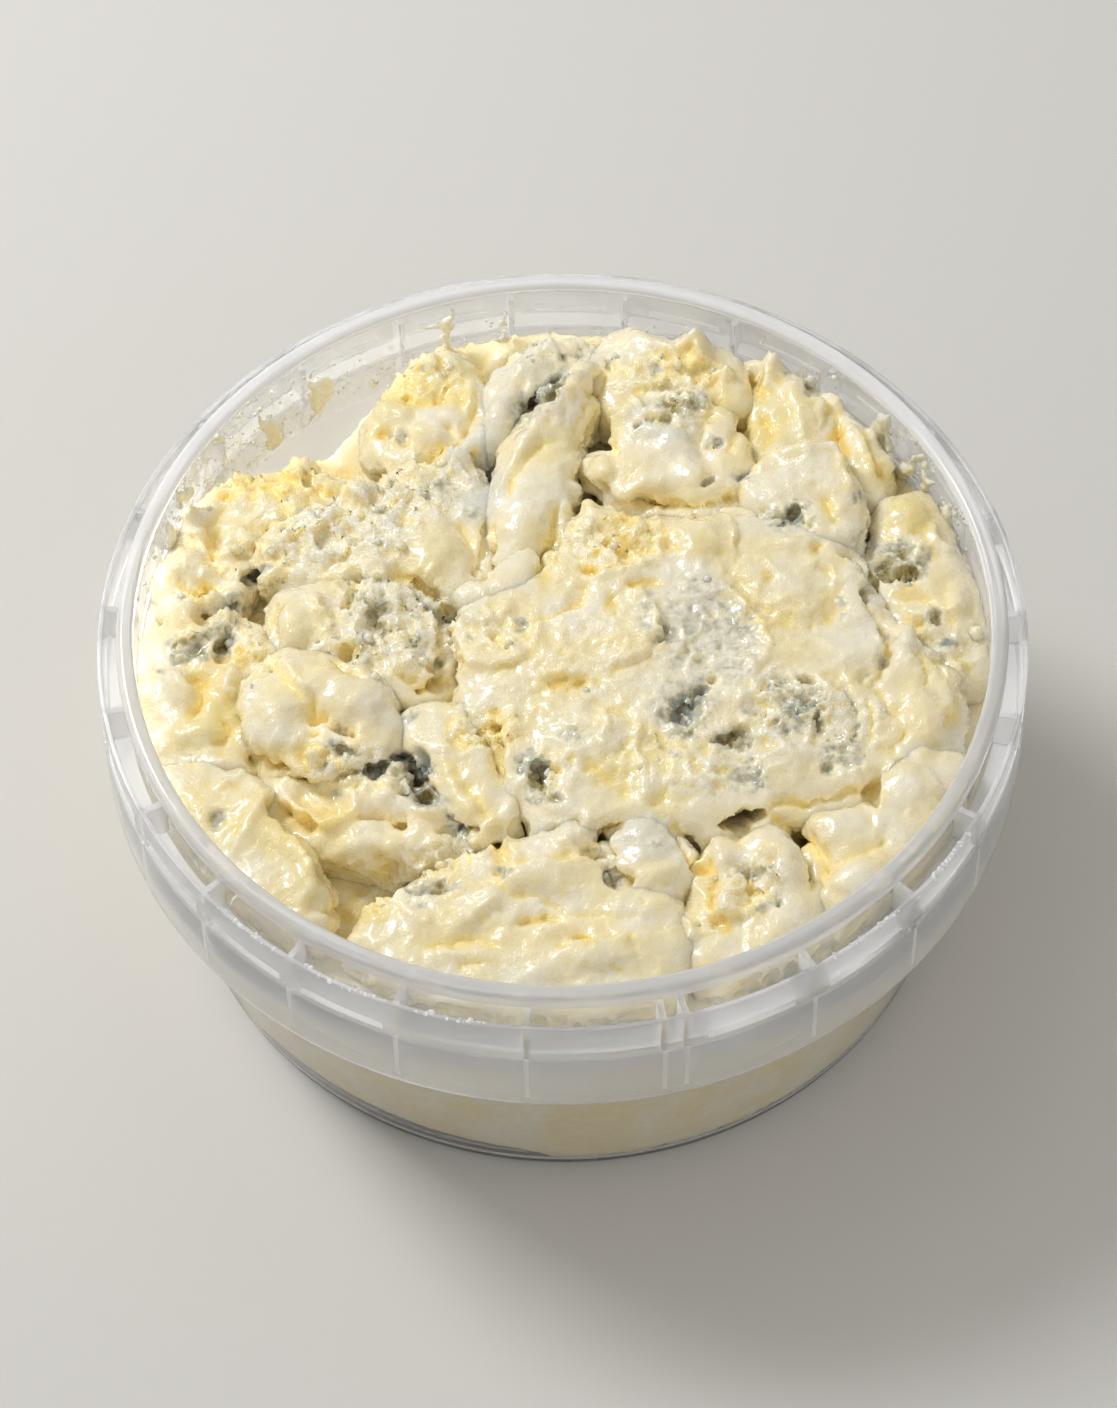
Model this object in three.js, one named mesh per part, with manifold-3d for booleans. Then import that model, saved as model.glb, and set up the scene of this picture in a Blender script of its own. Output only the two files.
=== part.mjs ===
// A clear round food tub filled with scooped blue-veined cheese.
// Millimetres, +Z up. The origin is the middle of the tub's flat base, and the front is towards -Y.

import * as THREE from "three";
import { mergeVertices } from "three/addons/utils/BufferGeometryUtils.js";
import Module from "manifold-3d";

const wasm = await Module();
wasm.setup();

// ---------- driving dimensions ----------

const ROUND_STEPS = 40;        // facets round the tub and its filling

// the tub's base and wall
const BASE_FLAT_R = 48.2;      // flat that the tub stands on
const BASE_EDGE_R = 50.5;      // where the corner becomes the wall
const BASE_CORNER = 2.2;       // height of that corner
const BASE_THICK = 1.0;
const WALL_THICK = 0.8;
const WALL_TOP_R = 55.0;       // outside of the wall, where the collar leaves it

// the rim
const RIM_TOP = 51.5;
const RIM_OUTER_R = 56.2;
const RIM_INNER_R = 54.0;
const BEAD_UNDERSIDE = 49.1;
const BEAD_ROUND = 0.8;
const NECK_R = 55.3;

// the collar round the neck: a gutter, its guard wall and the skirt below it
const GUTTER_FLOOR = 42.1;
const GUTTER_UNDERSIDE = 41.2;
const COLLAR_R = 59.0;
const COLLAR_WALL = 0.7;
const COLLAR_STEP = 0.2;
const GUARD_TOP = 48.3;
const SKIRT_BOTTOM = 31.0;

// plates across the gutter, and gussets under its floor
const RIB_THICK = 0.7;
const GUSSET_DROP = 8.4;
const FRONT_RIB_ANGLES = [-63.4, -49.4, -35.3, -20.9, -5.1, 11.3, 14.0, 30.6, 46.4, 60.3];
const REAR_RIB_GAPS = 15;      // equal gaps from the last front rib round the back to the first

// long drain slots, low in the guard wall
const SLOT_LENGTH = 11.5;
const SLOT_HEIGHT = 1.5;
const SLOT_BOTTOM = 42.2;
const SLOT_MIN_CELL = 12;      // degrees: a cell needs this much room for a slot
const PLAIN_FROM = -21;        // no slots between these two ribs, at the front
const PLAIN_TO = 14.5;

// the cheese
const GAP = 0.3;               // clearance between neighbours
const LUMP_STEP_LENGTH = 7;    // mm between the points round a lump
const LUMP_STEPS_MIN = 12;
const LUMP_FOOT = 20;          // each lump runs down to here before the bed trims it
const BED_LEVEL = 38.5;
const BED_EDGE_RISE = 3.2;     // the cheese is dragged up at the wall
const BED_RADIUS = 48;         // inside this the bed is open above, outside it lies on the wall
const BED_RINGS = [47, 36, 22, 9];

// hollows in the bed: x, y, radius and depth
const BED_HOLLOWS = [
  [-31, 40, 11, 15],
  [-24, -38, 6, 1.5],
  [10, 50, 10, 2],
  [47, 27, 8, 2],
];

// ---------- helpers ----------

const radians = THREE.MathUtils.degToRad;

// Merges shared vertices and drops the triangles that have shrunk to a line.
function weld(geometry) {
  const bare = geometry.clone();
  bare.deleteAttribute("normal");
  bare.deleteAttribute("uv");
  const merged = mergeVertices(bare, 1e-4);
  const index = merged.getIndex().array;
  const kept = [];
  for (let i = 0; i < index.length; i += 3) {
    const [a, b, c] = [index[i], index[i + 1], index[i + 2]];
    if (a !== b && b !== c && c !== a) kept.push(a, b, c);
  }
  merged.setIndex(kept);
  return merged;
}

function toSolid(geometry) {
  const welded = weld(geometry);
  const mesh = new wasm.Mesh({
    numProp: 3,
    vertProperties: new Float32Array(welded.getAttribute("position").array),
    triVerts: new Uint32Array(welded.getIndex().array),
  });
  return new wasm.Manifold(mesh);
}

function toGeometry(solid) {
  const mesh = solid.getMesh();
  const geometry = new THREE.BufferGeometry();
  geometry.setAttribute("position", new THREE.BufferAttribute(new Float32Array(mesh.vertProperties), 3));
  geometry.setIndex(new THREE.BufferAttribute(new Uint32Array(mesh.triVerts), 1));
  geometry.computeVertexNormals();
  return geometry;
}

// A cut can leave crumbs beside the main body. Only the largest body is kept.
function largestBody(solid) {
  const bodies = solid.decompose();
  return bodies.reduce((best, body) => (body.volume() > best.volume() ? body : best));
}

// Turns a profile of [radius, height] points round the Z axis.
function revolve(profile, steps = ROUND_STEPS) {
  const points = profile.map(([r, z]) => new THREE.Vector2(r, z));
  return new THREE.LatheGeometry(points, steps).rotateX(Math.PI / 2);
}

// Skins a stack of closed loops and closes both ends at a middle point.
function skinLoops(bottomPoint, loops, topPoint) {
  const around = loops[0].length;
  const vertices = [bottomPoint, ...loops.flat(), topPoint];
  const last = vertices.length - 1;
  const at = (loop, i) => 1 + loop * around + (i % around);
  const faces = [];
  for (let i = 0; i < around; i += 1) {
    faces.push(0, at(0, i + 1), at(0, i));
    for (let k = 0; k + 1 < loops.length; k += 1) {
      faces.push(at(k, i), at(k, i + 1), at(k + 1, i + 1));
      faces.push(at(k, i), at(k + 1, i + 1), at(k + 1, i));
    }
    faces.push(at(loops.length - 1, i), at(loops.length - 1, i + 1), last);
  }
  const geometry = new THREE.BufferGeometry().setFromPoints(vertices);
  geometry.setIndex(faces);
  geometry.computeVertexNormals();
  return geometry;
}

// Moves every vertex outwards along its normal.
function swell(geometry, distance) {
  const grown = geometry.clone();
  const position = grown.getAttribute("position");
  const normal = grown.getAttribute("normal");
  for (let i = 0; i < position.count; i += 1) {
    position.setXYZ(
      i,
      position.getX(i) + distance * normal.getX(i),
      position.getY(i) + distance * normal.getY(i),
      position.getZ(i) + distance * normal.getZ(i),
    );
  }
  return grown;
}

// Smooth unevenness, from about -1 to 1.
function unevenness(x, y, z) {
  return (
    0.5 * Math.sin(0.31 * x + 0.9 * Math.sin(0.23 * y) + 0.2 * z) +
    0.3 * Math.sin(0.47 * y - 0.36 * z + 1.7) +
    0.2 * Math.sin(0.83 * x - 0.59 * y + 0.4)
  );
}

// The inside of the wall at a height.
function innerRadius(z) {
  const slope = (WALL_TOP_R - BASE_EDGE_R) / (GUTTER_UNDERSIDE - BASE_CORNER);
  return Math.min(RIM_INNER_R, BASE_EDGE_R + slope * (z - BASE_CORNER) - WALL_THICK);
}

// ---------- tub ----------

function tubShell() {
  const guardInner = COLLAR_R - COLLAR_STEP - COLLAR_WALL;
  const innerCornerTop = BASE_THICK + BASE_CORNER;
  const outside = [
    [0, 0],
    [BASE_FLAT_R, 0],
    [BASE_EDGE_R - 0.8, 0.3 * BASE_CORNER],
    [BASE_EDGE_R, BASE_CORNER],
    [WALL_TOP_R, GUTTER_UNDERSIDE],
  ];
  const collar = [
    [COLLAR_R - COLLAR_WALL, GUTTER_UNDERSIDE],
    [COLLAR_R - COLLAR_WALL, SKIRT_BOTTOM],
    [COLLAR_R, SKIRT_BOTTOM],
    [COLLAR_R, GUTTER_UNDERSIDE],
    [COLLAR_R - COLLAR_STEP, GUTTER_UNDERSIDE + COLLAR_STEP],
    [COLLAR_R - COLLAR_STEP, GUARD_TOP],
    [guardInner, GUARD_TOP],
    [guardInner, GUTTER_FLOOR],
    [NECK_R, GUTTER_FLOOR],
  ];
  const bead = [
    [NECK_R, BEAD_UNDERSIDE],
    [RIM_OUTER_R, BEAD_UNDERSIDE + 0.4],
    [RIM_OUTER_R, RIM_TOP - BEAD_ROUND],
    [RIM_OUTER_R - BEAD_ROUND, RIM_TOP],
    [RIM_INNER_R + BEAD_ROUND, RIM_TOP],
    [RIM_INNER_R, RIM_TOP - BEAD_ROUND],
  ];
  const inside = [
    [RIM_INNER_R, GUTTER_FLOOR],
    [innerRadius(innerCornerTop), innerCornerTop],
    [innerRadius(innerCornerTop) - 0.8, BASE_THICK + 0.3 * BASE_CORNER],
    [BASE_FLAT_R - WALL_THICK, BASE_THICK],
    [0, BASE_THICK],
  ];
  return revolve([...outside, ...collar, ...bead, ...inside]);
}

// Angles of all the ribs, in degrees from the front, turning towards +X.
function ribAngles() {
  const first = FRONT_RIB_ANGLES[0];
  const last = FRONT_RIB_ANGLES[FRONT_RIB_ANGLES.length - 1];
  const step = (first + 360 - last) / REAR_RIB_GAPS;
  const rear = [];
  for (let i = 1; i < REAR_RIB_GAPS; i += 1) rear.push(last + i * step);
  return [...FRONT_RIB_ANGLES, ...rear];
}

// A piece drawn with its radius along -Y is turned to its angle.
function turnFromFront(geometry, degrees) {
  return geometry.rotateZ(radians(degrees));
}

function gutterPlate(degrees) {
  const inner = NECK_R - 0.4;
  const outer = COLLAR_R - COLLAR_STEP - 0.4 * COLLAR_WALL;
  const low = GUTTER_FLOOR - 0.4;
  const plate = new THREE.BoxGeometry(RIB_THICK, outer - inner, GUARD_TOP - 0.3 - low);
  plate.translate(0, -(inner + outer) / 2, (GUARD_TOP - 0.3 + low) / 2);
  return turnFromFront(plate, degrees);
}

function gusset(degrees) {
  const outer = COLLAR_R - 0.4 * COLLAR_WALL;
  const top = GUTTER_UNDERSIDE + 0.4;
  const triangle = new THREE.Shape();
  triangle.moveTo(WALL_TOP_R - 0.4, top);
  triangle.lineTo(outer, top);
  triangle.lineTo(outer, GUTTER_UNDERSIDE - GUSSET_DROP);
  triangle.lineTo(COLLAR_R - COLLAR_WALL - 0.2, GUTTER_UNDERSIDE - GUSSET_DROP);
  triangle.closePath();
  const plate = new THREE.ExtrudeGeometry(triangle, { depth: RIB_THICK, bevelEnabled: false });
  plate.translate(0, 0, -RIB_THICK / 2).rotateX(Math.PI / 2).rotateZ(-Math.PI / 2);
  return turnFromFront(plate, degrees);
}

function drainSlot(degrees) {
  const slot = new THREE.BoxGeometry(SLOT_LENGTH, 3 * COLLAR_WALL, SLOT_HEIGHT);
  slot.translate(0, -(COLLAR_R - COLLAR_WALL / 2), SLOT_BOTTOM + SLOT_HEIGHT / 2);
  return turnFromFront(slot, degrees);
}

function makeTub() {
  let tub = toSolid(tubShell());
  const angles = ribAngles();
  for (const degrees of angles) {
    tub = tub.add(toSolid(gutterPlate(degrees))).add(toSolid(gusset(degrees)));
  }
  angles.forEach((degrees, i) => {
    const next = i + 1 < angles.length ? angles[i + 1] : angles[0] + 360;
    const plain = degrees >= PLAIN_FROM && next <= PLAIN_TO;
    if (plain || next - degrees < SLOT_MIN_CELL) return;
    tub = tub.subtract(toSolid(drainSlot((degrees + next) / 2)));
  });
  return tub;
}

// ---------- cheese ----------

// Height of the bed's surface under the scooped lumps.
function bedLevel(x, y) {
  let level = BED_LEVEL + 0.9 * unevenness(x, y, 0);
  level += BED_EDGE_RISE * Math.pow(Math.hypot(x, y) / RIM_INNER_R, 6);
  for (const [hx, hy, radius, depth] of BED_HOLLOWS) {
    const away = Math.hypot(x - hx, y - hy) / radius;
    level -= depth * Math.exp(-away * away);
  }
  return level;
}

// The packed cheese that fills the tub up to the lumps. grow makes it larger all over.
function bedGeometry(grow = 0) {
  const ringOf = (radius, heightAt) => {
    const ring = [];
    for (let i = 0; i < ROUND_STEPS; i += 1) {
      const angle = (2 * Math.PI * i) / ROUND_STEPS;
      const z = heightAt(radius * Math.cos(angle), radius * Math.sin(angle));
      const r = radius > BED_RADIUS ? innerRadius(z) - GAP + grow : radius;
      ring.push(new THREE.Vector3(r * Math.cos(angle), r * Math.sin(angle), z));
    }
    return ring;
  };
  const floor = BASE_THICK + GAP - grow;
  const cornerTop = BASE_THICK + BASE_CORNER;
  const surface = (x, y) => bedLevel(x, y) + grow;
  const loops = [
    ringOf(BASE_FLAT_R - WALL_THICK - GAP, () => floor),
    ringOf(WALL_TOP_R, () => cornerTop),
    ringOf(WALL_TOP_R, surface),
    ...BED_RINGS.map((radius) => ringOf(radius, surface)),
  ];
  return skinLoops(new THREE.Vector3(0, 0, floor), loops, new THREE.Vector3(0, 0, surface(0, 0)));
}

// How a lump's side runs from its foot to the middle of its top: the share of the outline
// that a loop keeps, and the share of the crown that it lies below the top.
const SIDE_LOOPS = [
  [0.98, 1.5],
  [1.0, 0.8],
  [0.91, 0.3],
  [0.6, 0.07],
];

// One scooped lump: a closed outline seen from above, a crowned top that may slope, and a foot.
function lumpGeometry({ outline, top, crown, slope = [0, 0], rough = 0.5 }) {
  const curve = new THREE.CatmullRomCurve3(outline.map(([x, y]) => new THREE.Vector3(x, y, 0)), true);
  const steps = Math.max(LUMP_STEPS_MIN, Math.round(curve.getLength() / LUMP_STEP_LENGTH));
  const rim = curve.getSpacedPoints(steps).slice(0, steps);
  const isClockwise = THREE.ShapeUtils.isClockWise(rim);
  if (isClockwise) rim.reverse();
  const middle = rim.reduce((sum, p) => sum.add(p), new THREE.Vector3()).divideScalar(steps);
  const topAt = (x, y) => top + slope[0] * (x - middle.x) + slope[1] * (y - middle.y);
  const point = (p, share, drop) => {
    const x = THREE.MathUtils.lerp(middle.x, p.x, share);
    const y = THREE.MathUtils.lerp(middle.y, p.y, share);
    const z = topAt(x, y) - crown * drop;
    const bump = rough * unevenness(2.2 * x, 2.2 * y, 2.2 * z);
    const out = 1 + (0.5 * bump * share) / Math.max(3, Math.hypot(p.x - middle.x, p.y - middle.y));
    return new THREE.Vector3(middle.x + (x - middle.x) * out, middle.y + (y - middle.y) * out, z + bump);
  };
  const foot = rim.map((p) => {
    const q = point(p, 0.9, 0);
    return new THREE.Vector3(q.x, q.y, LUMP_FOOT);
  });
  const loops = [foot, ...SIDE_LOOPS.map(([share, drop]) => rim.map((p) => point(p, share, drop)))];
  return skinLoops(
    new THREE.Vector3(middle.x, middle.y, LUMP_FOOT),
    loops,
    point(middle, 0, 0),
  );
}

// The lumps, from those that lie over their neighbours to those that lie under them. A lump is
// cut back where an earlier one lies.
const LUMPS = {
  leaf_flap: {
    outline: [[-13.5, 4.5], [-9, 8.5], [-4, 11.5], [-1.5, 11.2], [-3.2, 7], [-8, 4]],
    top: 50.6, crown: 2.4, slope: [0.03, 0], rough: 0.2,
  },
  corner_piece: {
    outline: [[36, 29], [28, 26.5], [24, 20.5], [26, 17], [32.5, 14], [37, 12.5], [38.6, 18], [37.4, 24.5]],
    top: 50.2, crown: 3, slope: [0.03, 0.05], rough: 0.35,
  },
  great_slab: {
    outline: [
      [-14, 2], [-13, -9], [-9, -16], [-6, -22], [-4.8, -28.5], [4, -29], [12, -30], [22, -29], [33, -26.5],
      [38.5, -24], [42, -19.5], [48, -18], [50, -10], [46.5, -3], [40.5, 2.5], [39, 9.5], [35, 15], [22, 19],
      [11, 18.5], [1.5, 19.5], [-1, 12], [-6.5, 7], [-11, 5.5],
    ],
    top: 50.5, crown: 3.8, slope: [-0.035, 0.02], rough: 0.45,
  },
  curl_lobe: {
    outline: [[-40.5, -10], [-38, -4.5], [-32, -3], [-25, -6], [-21, -11.5], [-20.5, -17], [-26, -20], [-34, -20]],
    top: 50.2, crown: 5, slope: [0.02, -0.03], rough: 0.25,
  },
  front_tongue: {
    outline: [[-20, -12], [-16, -9], [-12.5, -11], [-9.5, -17], [-7, -24], [-7, -29.5], [-11, -30], [-15, -24], [-18.5, -18]],
    top: 48.9, crown: 3.2, slope: [0, 0.03], rough: 0.25,
  },
  back_tongue: {
    outline: [[3, 44], [5, 40.5], [2, 33], [0.5, 24], [0.3, 14], [-3, 10.5], [-8, 11], [-9, 17], [-8, 25], [-5.5, 33], [-2, 40]],
    top: 49.3, crown: 3.2, slope: [0, -0.03], rough: 0.25,
  },
  upper_chunk: {
    outline: [[5.5, 25], [8, 20.5], [14, 19.5], [22, 20], [24.5, 25], [24.5, 31], [20.5, 37], [14, 38.5], [9.5, 36], [7, 31]],
    top: 49.6, crown: 3.8, slope: [0, 0.01], rough: 0.55,
  },
  grainy_left: {
    outline: [[-36.5, 7], [-28, 9], [-20, 7.5], [-14.5, 4], [-14, -3], [-15.5, -9], [-21, -8.5], [-25, -5], [-31, -3], [-36, 0]],
    top: 49.0, crown: 3.6, slope: [0.01, 0], rough: 0.7,
  },
  upper_left: {
    outline: [
      [-10, 9], [-9.5, 17], [-9.5, 27], [-14, 29.5], [-19, 28], [-24, 25], [-31, 22], [-38, 18.5], [-39.5, 12.5],
      [-33, 9.5], [-26, 10], [-20, 8.5], [-14, 5],
    ],
    top: 48.4, crown: 3.8, slope: [0.04, 0], rough: 0.7,
  },
  back_middle: {
    outline: [[-9.5, 32], [-9.5, 40], [-6.5, 46], [-1, 49], [5, 49], [4, 45], [-2.5, 40], [-5.5, 33.5]],
    top: 46.6, crown: 3.8, slope: [0, -0.08], rough: 0.7,
  },
  back_left: {
    outline: [[-24.5, 32], [-24.5, 39], [-20, 45.5], [-15, 48.5], [-11, 45], [-9.5, 40], [-9.5, 33], [-13, 29], [-19, 28]],
    top: 46.4, crown: 4.2, slope: [0.05, -0.12], rough: 0.7,
  },
  back_crest: {
    outline: [[4.5, 41], [5.5, 49], [12, 50], [19, 48.5], [24.5, 45], [25, 36], [20.5, 37], [14, 38.5], [8.5, 35.5]],
    top: 46.8, crown: 3.8, slope: [0, -0.08], rough: 0.7,
  },
  back_right: {
    outline: [[24.5, 27], [24.5, 36], [26, 44.5], [29.5, 46.5], [34, 42], [39, 36], [43, 29], [42, 21], [38.5, 20], [37, 29]],
    top: 46.2, crown: 4.4, slope: [-0.03, -0.1], rough: 0.7,
  },
  right_side: {
    outline: [[39.5, 10], [41, 3], [46.5, -2.5], [50, -9], [53.5, -6], [53.5, 6], [51, 15], [47.5, 23], [42.5, 25], [40.5, 18]],
    top: 46.8, crown: 4, slope: [-0.1, 0], rough: 0.7,
  },
  bottom_middle: {
    outline: [[5, -30.5], [7.5, -28], [12, -28.5], [15, -31], [15.5, -36], [11, -38.5], [7, -37.5], [5, -34.5]],
    top: 48.6, crown: 3.2, slope: [0, 0.02], rough: 0.45,
  },
  bottom_right: {
    outline: [[15.5, -39], [16, -32], [19, -31.5], [24, -30], [29, -31.5], [31, -37], [30.5, -44], [25, -48], [18, -50.5], [14.5, -46]],
    top: 48.0, crown: 3.4, slope: [0, 0.06], rough: 0.6,
  },
  right_front: {
    outline: [[30, -28], [38, -26.5], [42, -20], [49, -18], [51, -20], [46, -29], [39, -38], [31.5, -44], [30.5, -36]],
    top: 48.2, crown: 3.4, slope: [-0.03, 0.02], rough: 0.35,
  },
  front_swirl: {
    outline: [
      [-26, -44], [-22, -38.5], [-17, -35], [-11, -32.5], [-5, -30.5], [2, -29], [6, -31], [9, -37], [13.5, -41],
      [15, -48], [10, -52.5], [0, -53.5], [-11, -52], [-19, -49.5], [-25, -46.5],
    ],
    top: 48.2, crown: 3.2, slope: [0, 0.05], rough: 0.5,
  },
  left_front: {
    outline: [[-51, -18], [-43, -19], [-38, -22], [-35, -27], [-31, -32], [-30, -38], [-31, -44], [-38, -40], [-45, -31]],
    top: 47.6, crown: 3.2, slope: [0.02, 0.02], rough: 0.35,
  },
  crumbly_left: {
    outline: [[-36, -20], [-29, -17.5], [-22, -18.5], [-18, -19], [-15, -24], [-10.5, -30], [-18, -31.5], [-26, -30], [-33, -28.5]],
    top: 47.2, crown: 3, slope: [0, 0.05], rough: 0.8,
  },
  left_edge: {
    outline: [[-53, 3], [-46, 6], [-40, 4], [-36, 1], [-37, -4], [-40, -8], [-39, -17], [-43, -20], [-52, -18], [-53, -8]],
    top: 46.6, crown: 3.6, slope: [0.08, 0], rough: 0.7,
  },
  left_upper_edge: {
    outline: [[-53, 11], [-50, 21], [-45, 27], [-38, 30], [-29, 30.5], [-28, 26], [-37, 19], [-40, 12], [-42, 8], [-48, 7]],
    top: 44.6, crown: 3.6, slope: [0.06, -0.06], rough: 0.7,
  },
};

function cavity() {
  const low = LUMP_FOOT - 2;
  const high = RIM_TOP + 5;
  return revolve([
    [0, low],
    [innerRadius(low) - GAP, low],
    [innerRadius(GUTTER_FLOOR) - GAP, GUTTER_FLOOR],
    [RIM_INNER_R - GAP, high],
    [0, high],
  ]);
}

function makeLumps() {
  const room = toSolid(cavity());
  const bed = toSolid(bedGeometry(GAP));
  const finished = {};
  const grownBefore = [];
  for (const [name, shape] of Object.entries(LUMPS)) {
    const geometry = lumpGeometry(shape);
    let lump = toSolid(geometry).intersect(room).subtract(bed);
    for (const earlier of grownBefore) lump = lump.subtract(earlier);
    finished[name] = largestBody(lump);
    grownBefore.push(toSolid(swell(geometry, GAP)));
  }
  return finished;
}

// ---------- materials and assembly ----------

function clearPlastic() {
  return new THREE.MeshStandardMaterial({ color: 0xdfe0df, roughness: 0.3, metalness: 0, transparent: true, opacity: 0.45 });
}

function creamCheese(color) {
  return new THREE.MeshStandardMaterial({ color, roughness: 0.42, metalness: 0 });
}

const CREAM = 0xf0e7c4;
const GREYISH = 0xdfddcb;
const GREYISH_LUMPS = new Set(["grainy_left", "upper_left", "crumbly_left", "upper_chunk", "back_middle"]);

function addMesh(group, name, geometry, material) {
  const mesh = new THREE.Mesh(geometry, material);
  mesh.name = name;
  group.add(mesh);
}

const filledTub = new THREE.Group();
addMesh(filledTub, "tub", toGeometry(makeTub()), clearPlastic());
addMesh(filledTub, "cheese_bed", bedGeometry(), creamCheese(CREAM));
for (const [name, lump] of Object.entries(makeLumps())) {
  addMesh(filledTub, `cheese_${name}`, toGeometry(lump), creamCheese(GREYISH_LUMPS.has(name) ? GREYISH : CREAM));
}

export default filledTub;
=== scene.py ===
# %% [markdown]
# # A clear tub of scooped blue-veined cheese
# The object is a round deli pot, moulded in thin milky plastic, filled with lumps of soft cheese that were
# scooped in and pressed down a little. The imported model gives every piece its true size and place, in metres.
# The lesson keeps those places and adds what the eye looks for: thin bright plastic edges, creamy folds,
# crumbly grain, pockets of blue-green mould, and the smears that cling to the wall.

# %% Load the frame and keep its size
import bpy
import math
import numpy as np
from mathutils import Matrix, Vector


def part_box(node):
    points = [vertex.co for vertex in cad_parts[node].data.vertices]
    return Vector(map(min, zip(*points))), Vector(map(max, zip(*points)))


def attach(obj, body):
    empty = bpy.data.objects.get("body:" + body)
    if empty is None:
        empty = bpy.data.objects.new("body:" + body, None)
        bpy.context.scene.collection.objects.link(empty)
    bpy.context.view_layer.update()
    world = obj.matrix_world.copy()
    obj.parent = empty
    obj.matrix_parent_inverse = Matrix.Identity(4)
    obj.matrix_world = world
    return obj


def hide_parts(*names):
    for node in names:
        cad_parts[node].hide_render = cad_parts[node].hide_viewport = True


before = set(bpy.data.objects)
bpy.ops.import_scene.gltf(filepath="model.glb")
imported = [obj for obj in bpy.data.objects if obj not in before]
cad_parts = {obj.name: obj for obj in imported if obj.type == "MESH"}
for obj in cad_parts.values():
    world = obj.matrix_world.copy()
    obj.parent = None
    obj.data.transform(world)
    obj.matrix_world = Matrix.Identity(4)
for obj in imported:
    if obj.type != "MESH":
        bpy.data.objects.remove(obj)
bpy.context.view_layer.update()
MM = 0.001
print("nodes in the frame:", len(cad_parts))

# %% [markdown]
# ## The camera
# The photograph looks down at the pot from the front, a little more steeply than halfway. A long lens far
# away keeps the rim's circle nearly a true ellipse, so the picture is set by three numbers: the distance, the
# angle above the table and the point looked at. The camera also leans by about one degree.

# %% Place the camera
PHOTO_WIDTH, PHOTO_HEIGHT = 1117, 1408
SENSOR_MM = 36
FOCAL_SHARE = 4788.6 / PHOTO_HEIGHT      # focal length as a share of the photo's long side
VIEW_DISTANCE = 618.1 * MM
VIEW_ELEVATION = math.radians(55.23)
VIEW_LEAN = math.radians(-0.94)
VIEW_TARGET = Vector((-0.63, 0.0, 32.17)) * MM


def place_camera():
    back = Vector((0, -math.cos(VIEW_ELEVATION), math.sin(VIEW_ELEVATION)))
    bpy.ops.object.camera_add(location=VIEW_TARGET + back * VIEW_DISTANCE)
    camera = bpy.context.object
    camera.name = "photo_camera"
    upright = (-back).to_track_quat("-Z", "Y").to_matrix()
    lean = Matrix.Rotation(VIEW_LEAN, 3, back)
    camera.rotation_euler = (lean @ upright).to_euler()
    camera.data.sensor_width = SENSOR_MM
    camera.data.lens = FOCAL_SHARE * SENSOR_MM
    camera.data.clip_start = 0.01
    camera.data.clip_end = 10
    return camera


bpy.context.scene.camera = place_camera()
print("lens in mm:", round(bpy.context.scene.camera.data.lens, 1))

# %% [markdown]
# ## Hands for the work
# Every step below selects one piece, changes it, and leaves edit mode. A few helpers say that once. An
# operator works on all that is selected, so each helper first deselects everything.

# %% Selecting, finishing and measuring a piece
def only(piece):
    """Selects one piece alone and makes it active."""
    bpy.ops.object.select_all(action="DESELECT")
    piece.select_set(True)
    bpy.context.view_layer.objects.active = piece


def edit(piece, *steps):
    """Runs edit-mode steps on the whole of one piece."""
    only(piece)
    bpy.ops.object.mode_set(mode="EDIT")
    bpy.ops.mesh.select_all(action="SELECT")
    for step in steps:
        step()
    bpy.ops.object.mode_set(mode="OBJECT")


def modify(piece, kind, **settings):
    """Adds a modifier, sets it and applies it."""
    only(piece)
    modifier = piece.modifiers.new(kind.lower(), kind)
    for name, value in settings.items():
        setattr(modifier, name, value)
    bpy.ops.object.modifier_apply(modifier=modifier.name)


def settle(piece):
    """Puts a piece's place into its mesh, so that its object sits unturned at the origin."""
    only(piece)
    bpy.ops.object.transform_apply(location=True, rotation=True, scale=True)


def triangles(piece):
    piece.data.calc_loop_triangles()
    return len(piece.data.loop_triangles)


def points_of(piece):
    """The piece's points in millimetres, one row each."""
    flat = np.empty(3 * len(piece.data.vertices))
    piece.data.vertices.foreach_get("co", flat)
    return flat.reshape(-1, 3) / MM


def normals_of(piece):
    flat = np.empty(3 * len(piece.data.vertices))
    piece.data.vertices.foreach_get("normal", flat)
    return flat.reshape(-1, 3)


def move_points(piece, points):
    """Writes the points back, in millimetres."""
    piece.data.vertices.foreach_set("co", (points * MM).ravel())
    piece.data.update()


# %% [markdown]
# ## The tub
# The pot is injection moulded: one thin wall, a rounded bead at the rim, and round its neck a collar that has
# a gutter on top and a skirt below. Any such body of revolution could be lathed from its profile. Here a
# single point is extruded along the profile, as a draughtsman would draw the section, and the finished line
# is spun once round the axis. The bead and the corners get their curves from short arcs, so that the plastic
# has the thin highlights that make it read as clear.

# %% Sizes of the tub, from the frame
TUB_LOW, TUB_HIGH = [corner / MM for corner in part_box("tub")]
COLLAR_R = TUB_HIGH.x
RIM_TOP = TUB_HIGH.z
RIM_INNER_R = COLLAR_R - 5.0
RIM_OUTER_R = COLLAR_R - 2.8
NECK_R = COLLAR_R - 3.7
WALL_TOP_R = COLLAR_R - 4.0
BASE_EDGE_R = COLLAR_R - 8.5
BASE_FLAT_R = BASE_EDGE_R - 2.3
BASE_CORNER = 2.2
BASE_THICK = 1.0
WALL_THICK = 0.8
COLLAR_WALL = 0.7
COLLAR_STEP = 0.2
BEAD_UNDERSIDE = RIM_TOP - 2.4
GUARD_TOP = RIM_TOP - 3.2
GUTTER_FLOOR = RIM_TOP - 9.4
GUTTER_UNDERSIDE = GUTTER_FLOOR - 0.9
SKIRT_BOTTOM = RIM_TOP - 20.5
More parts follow.
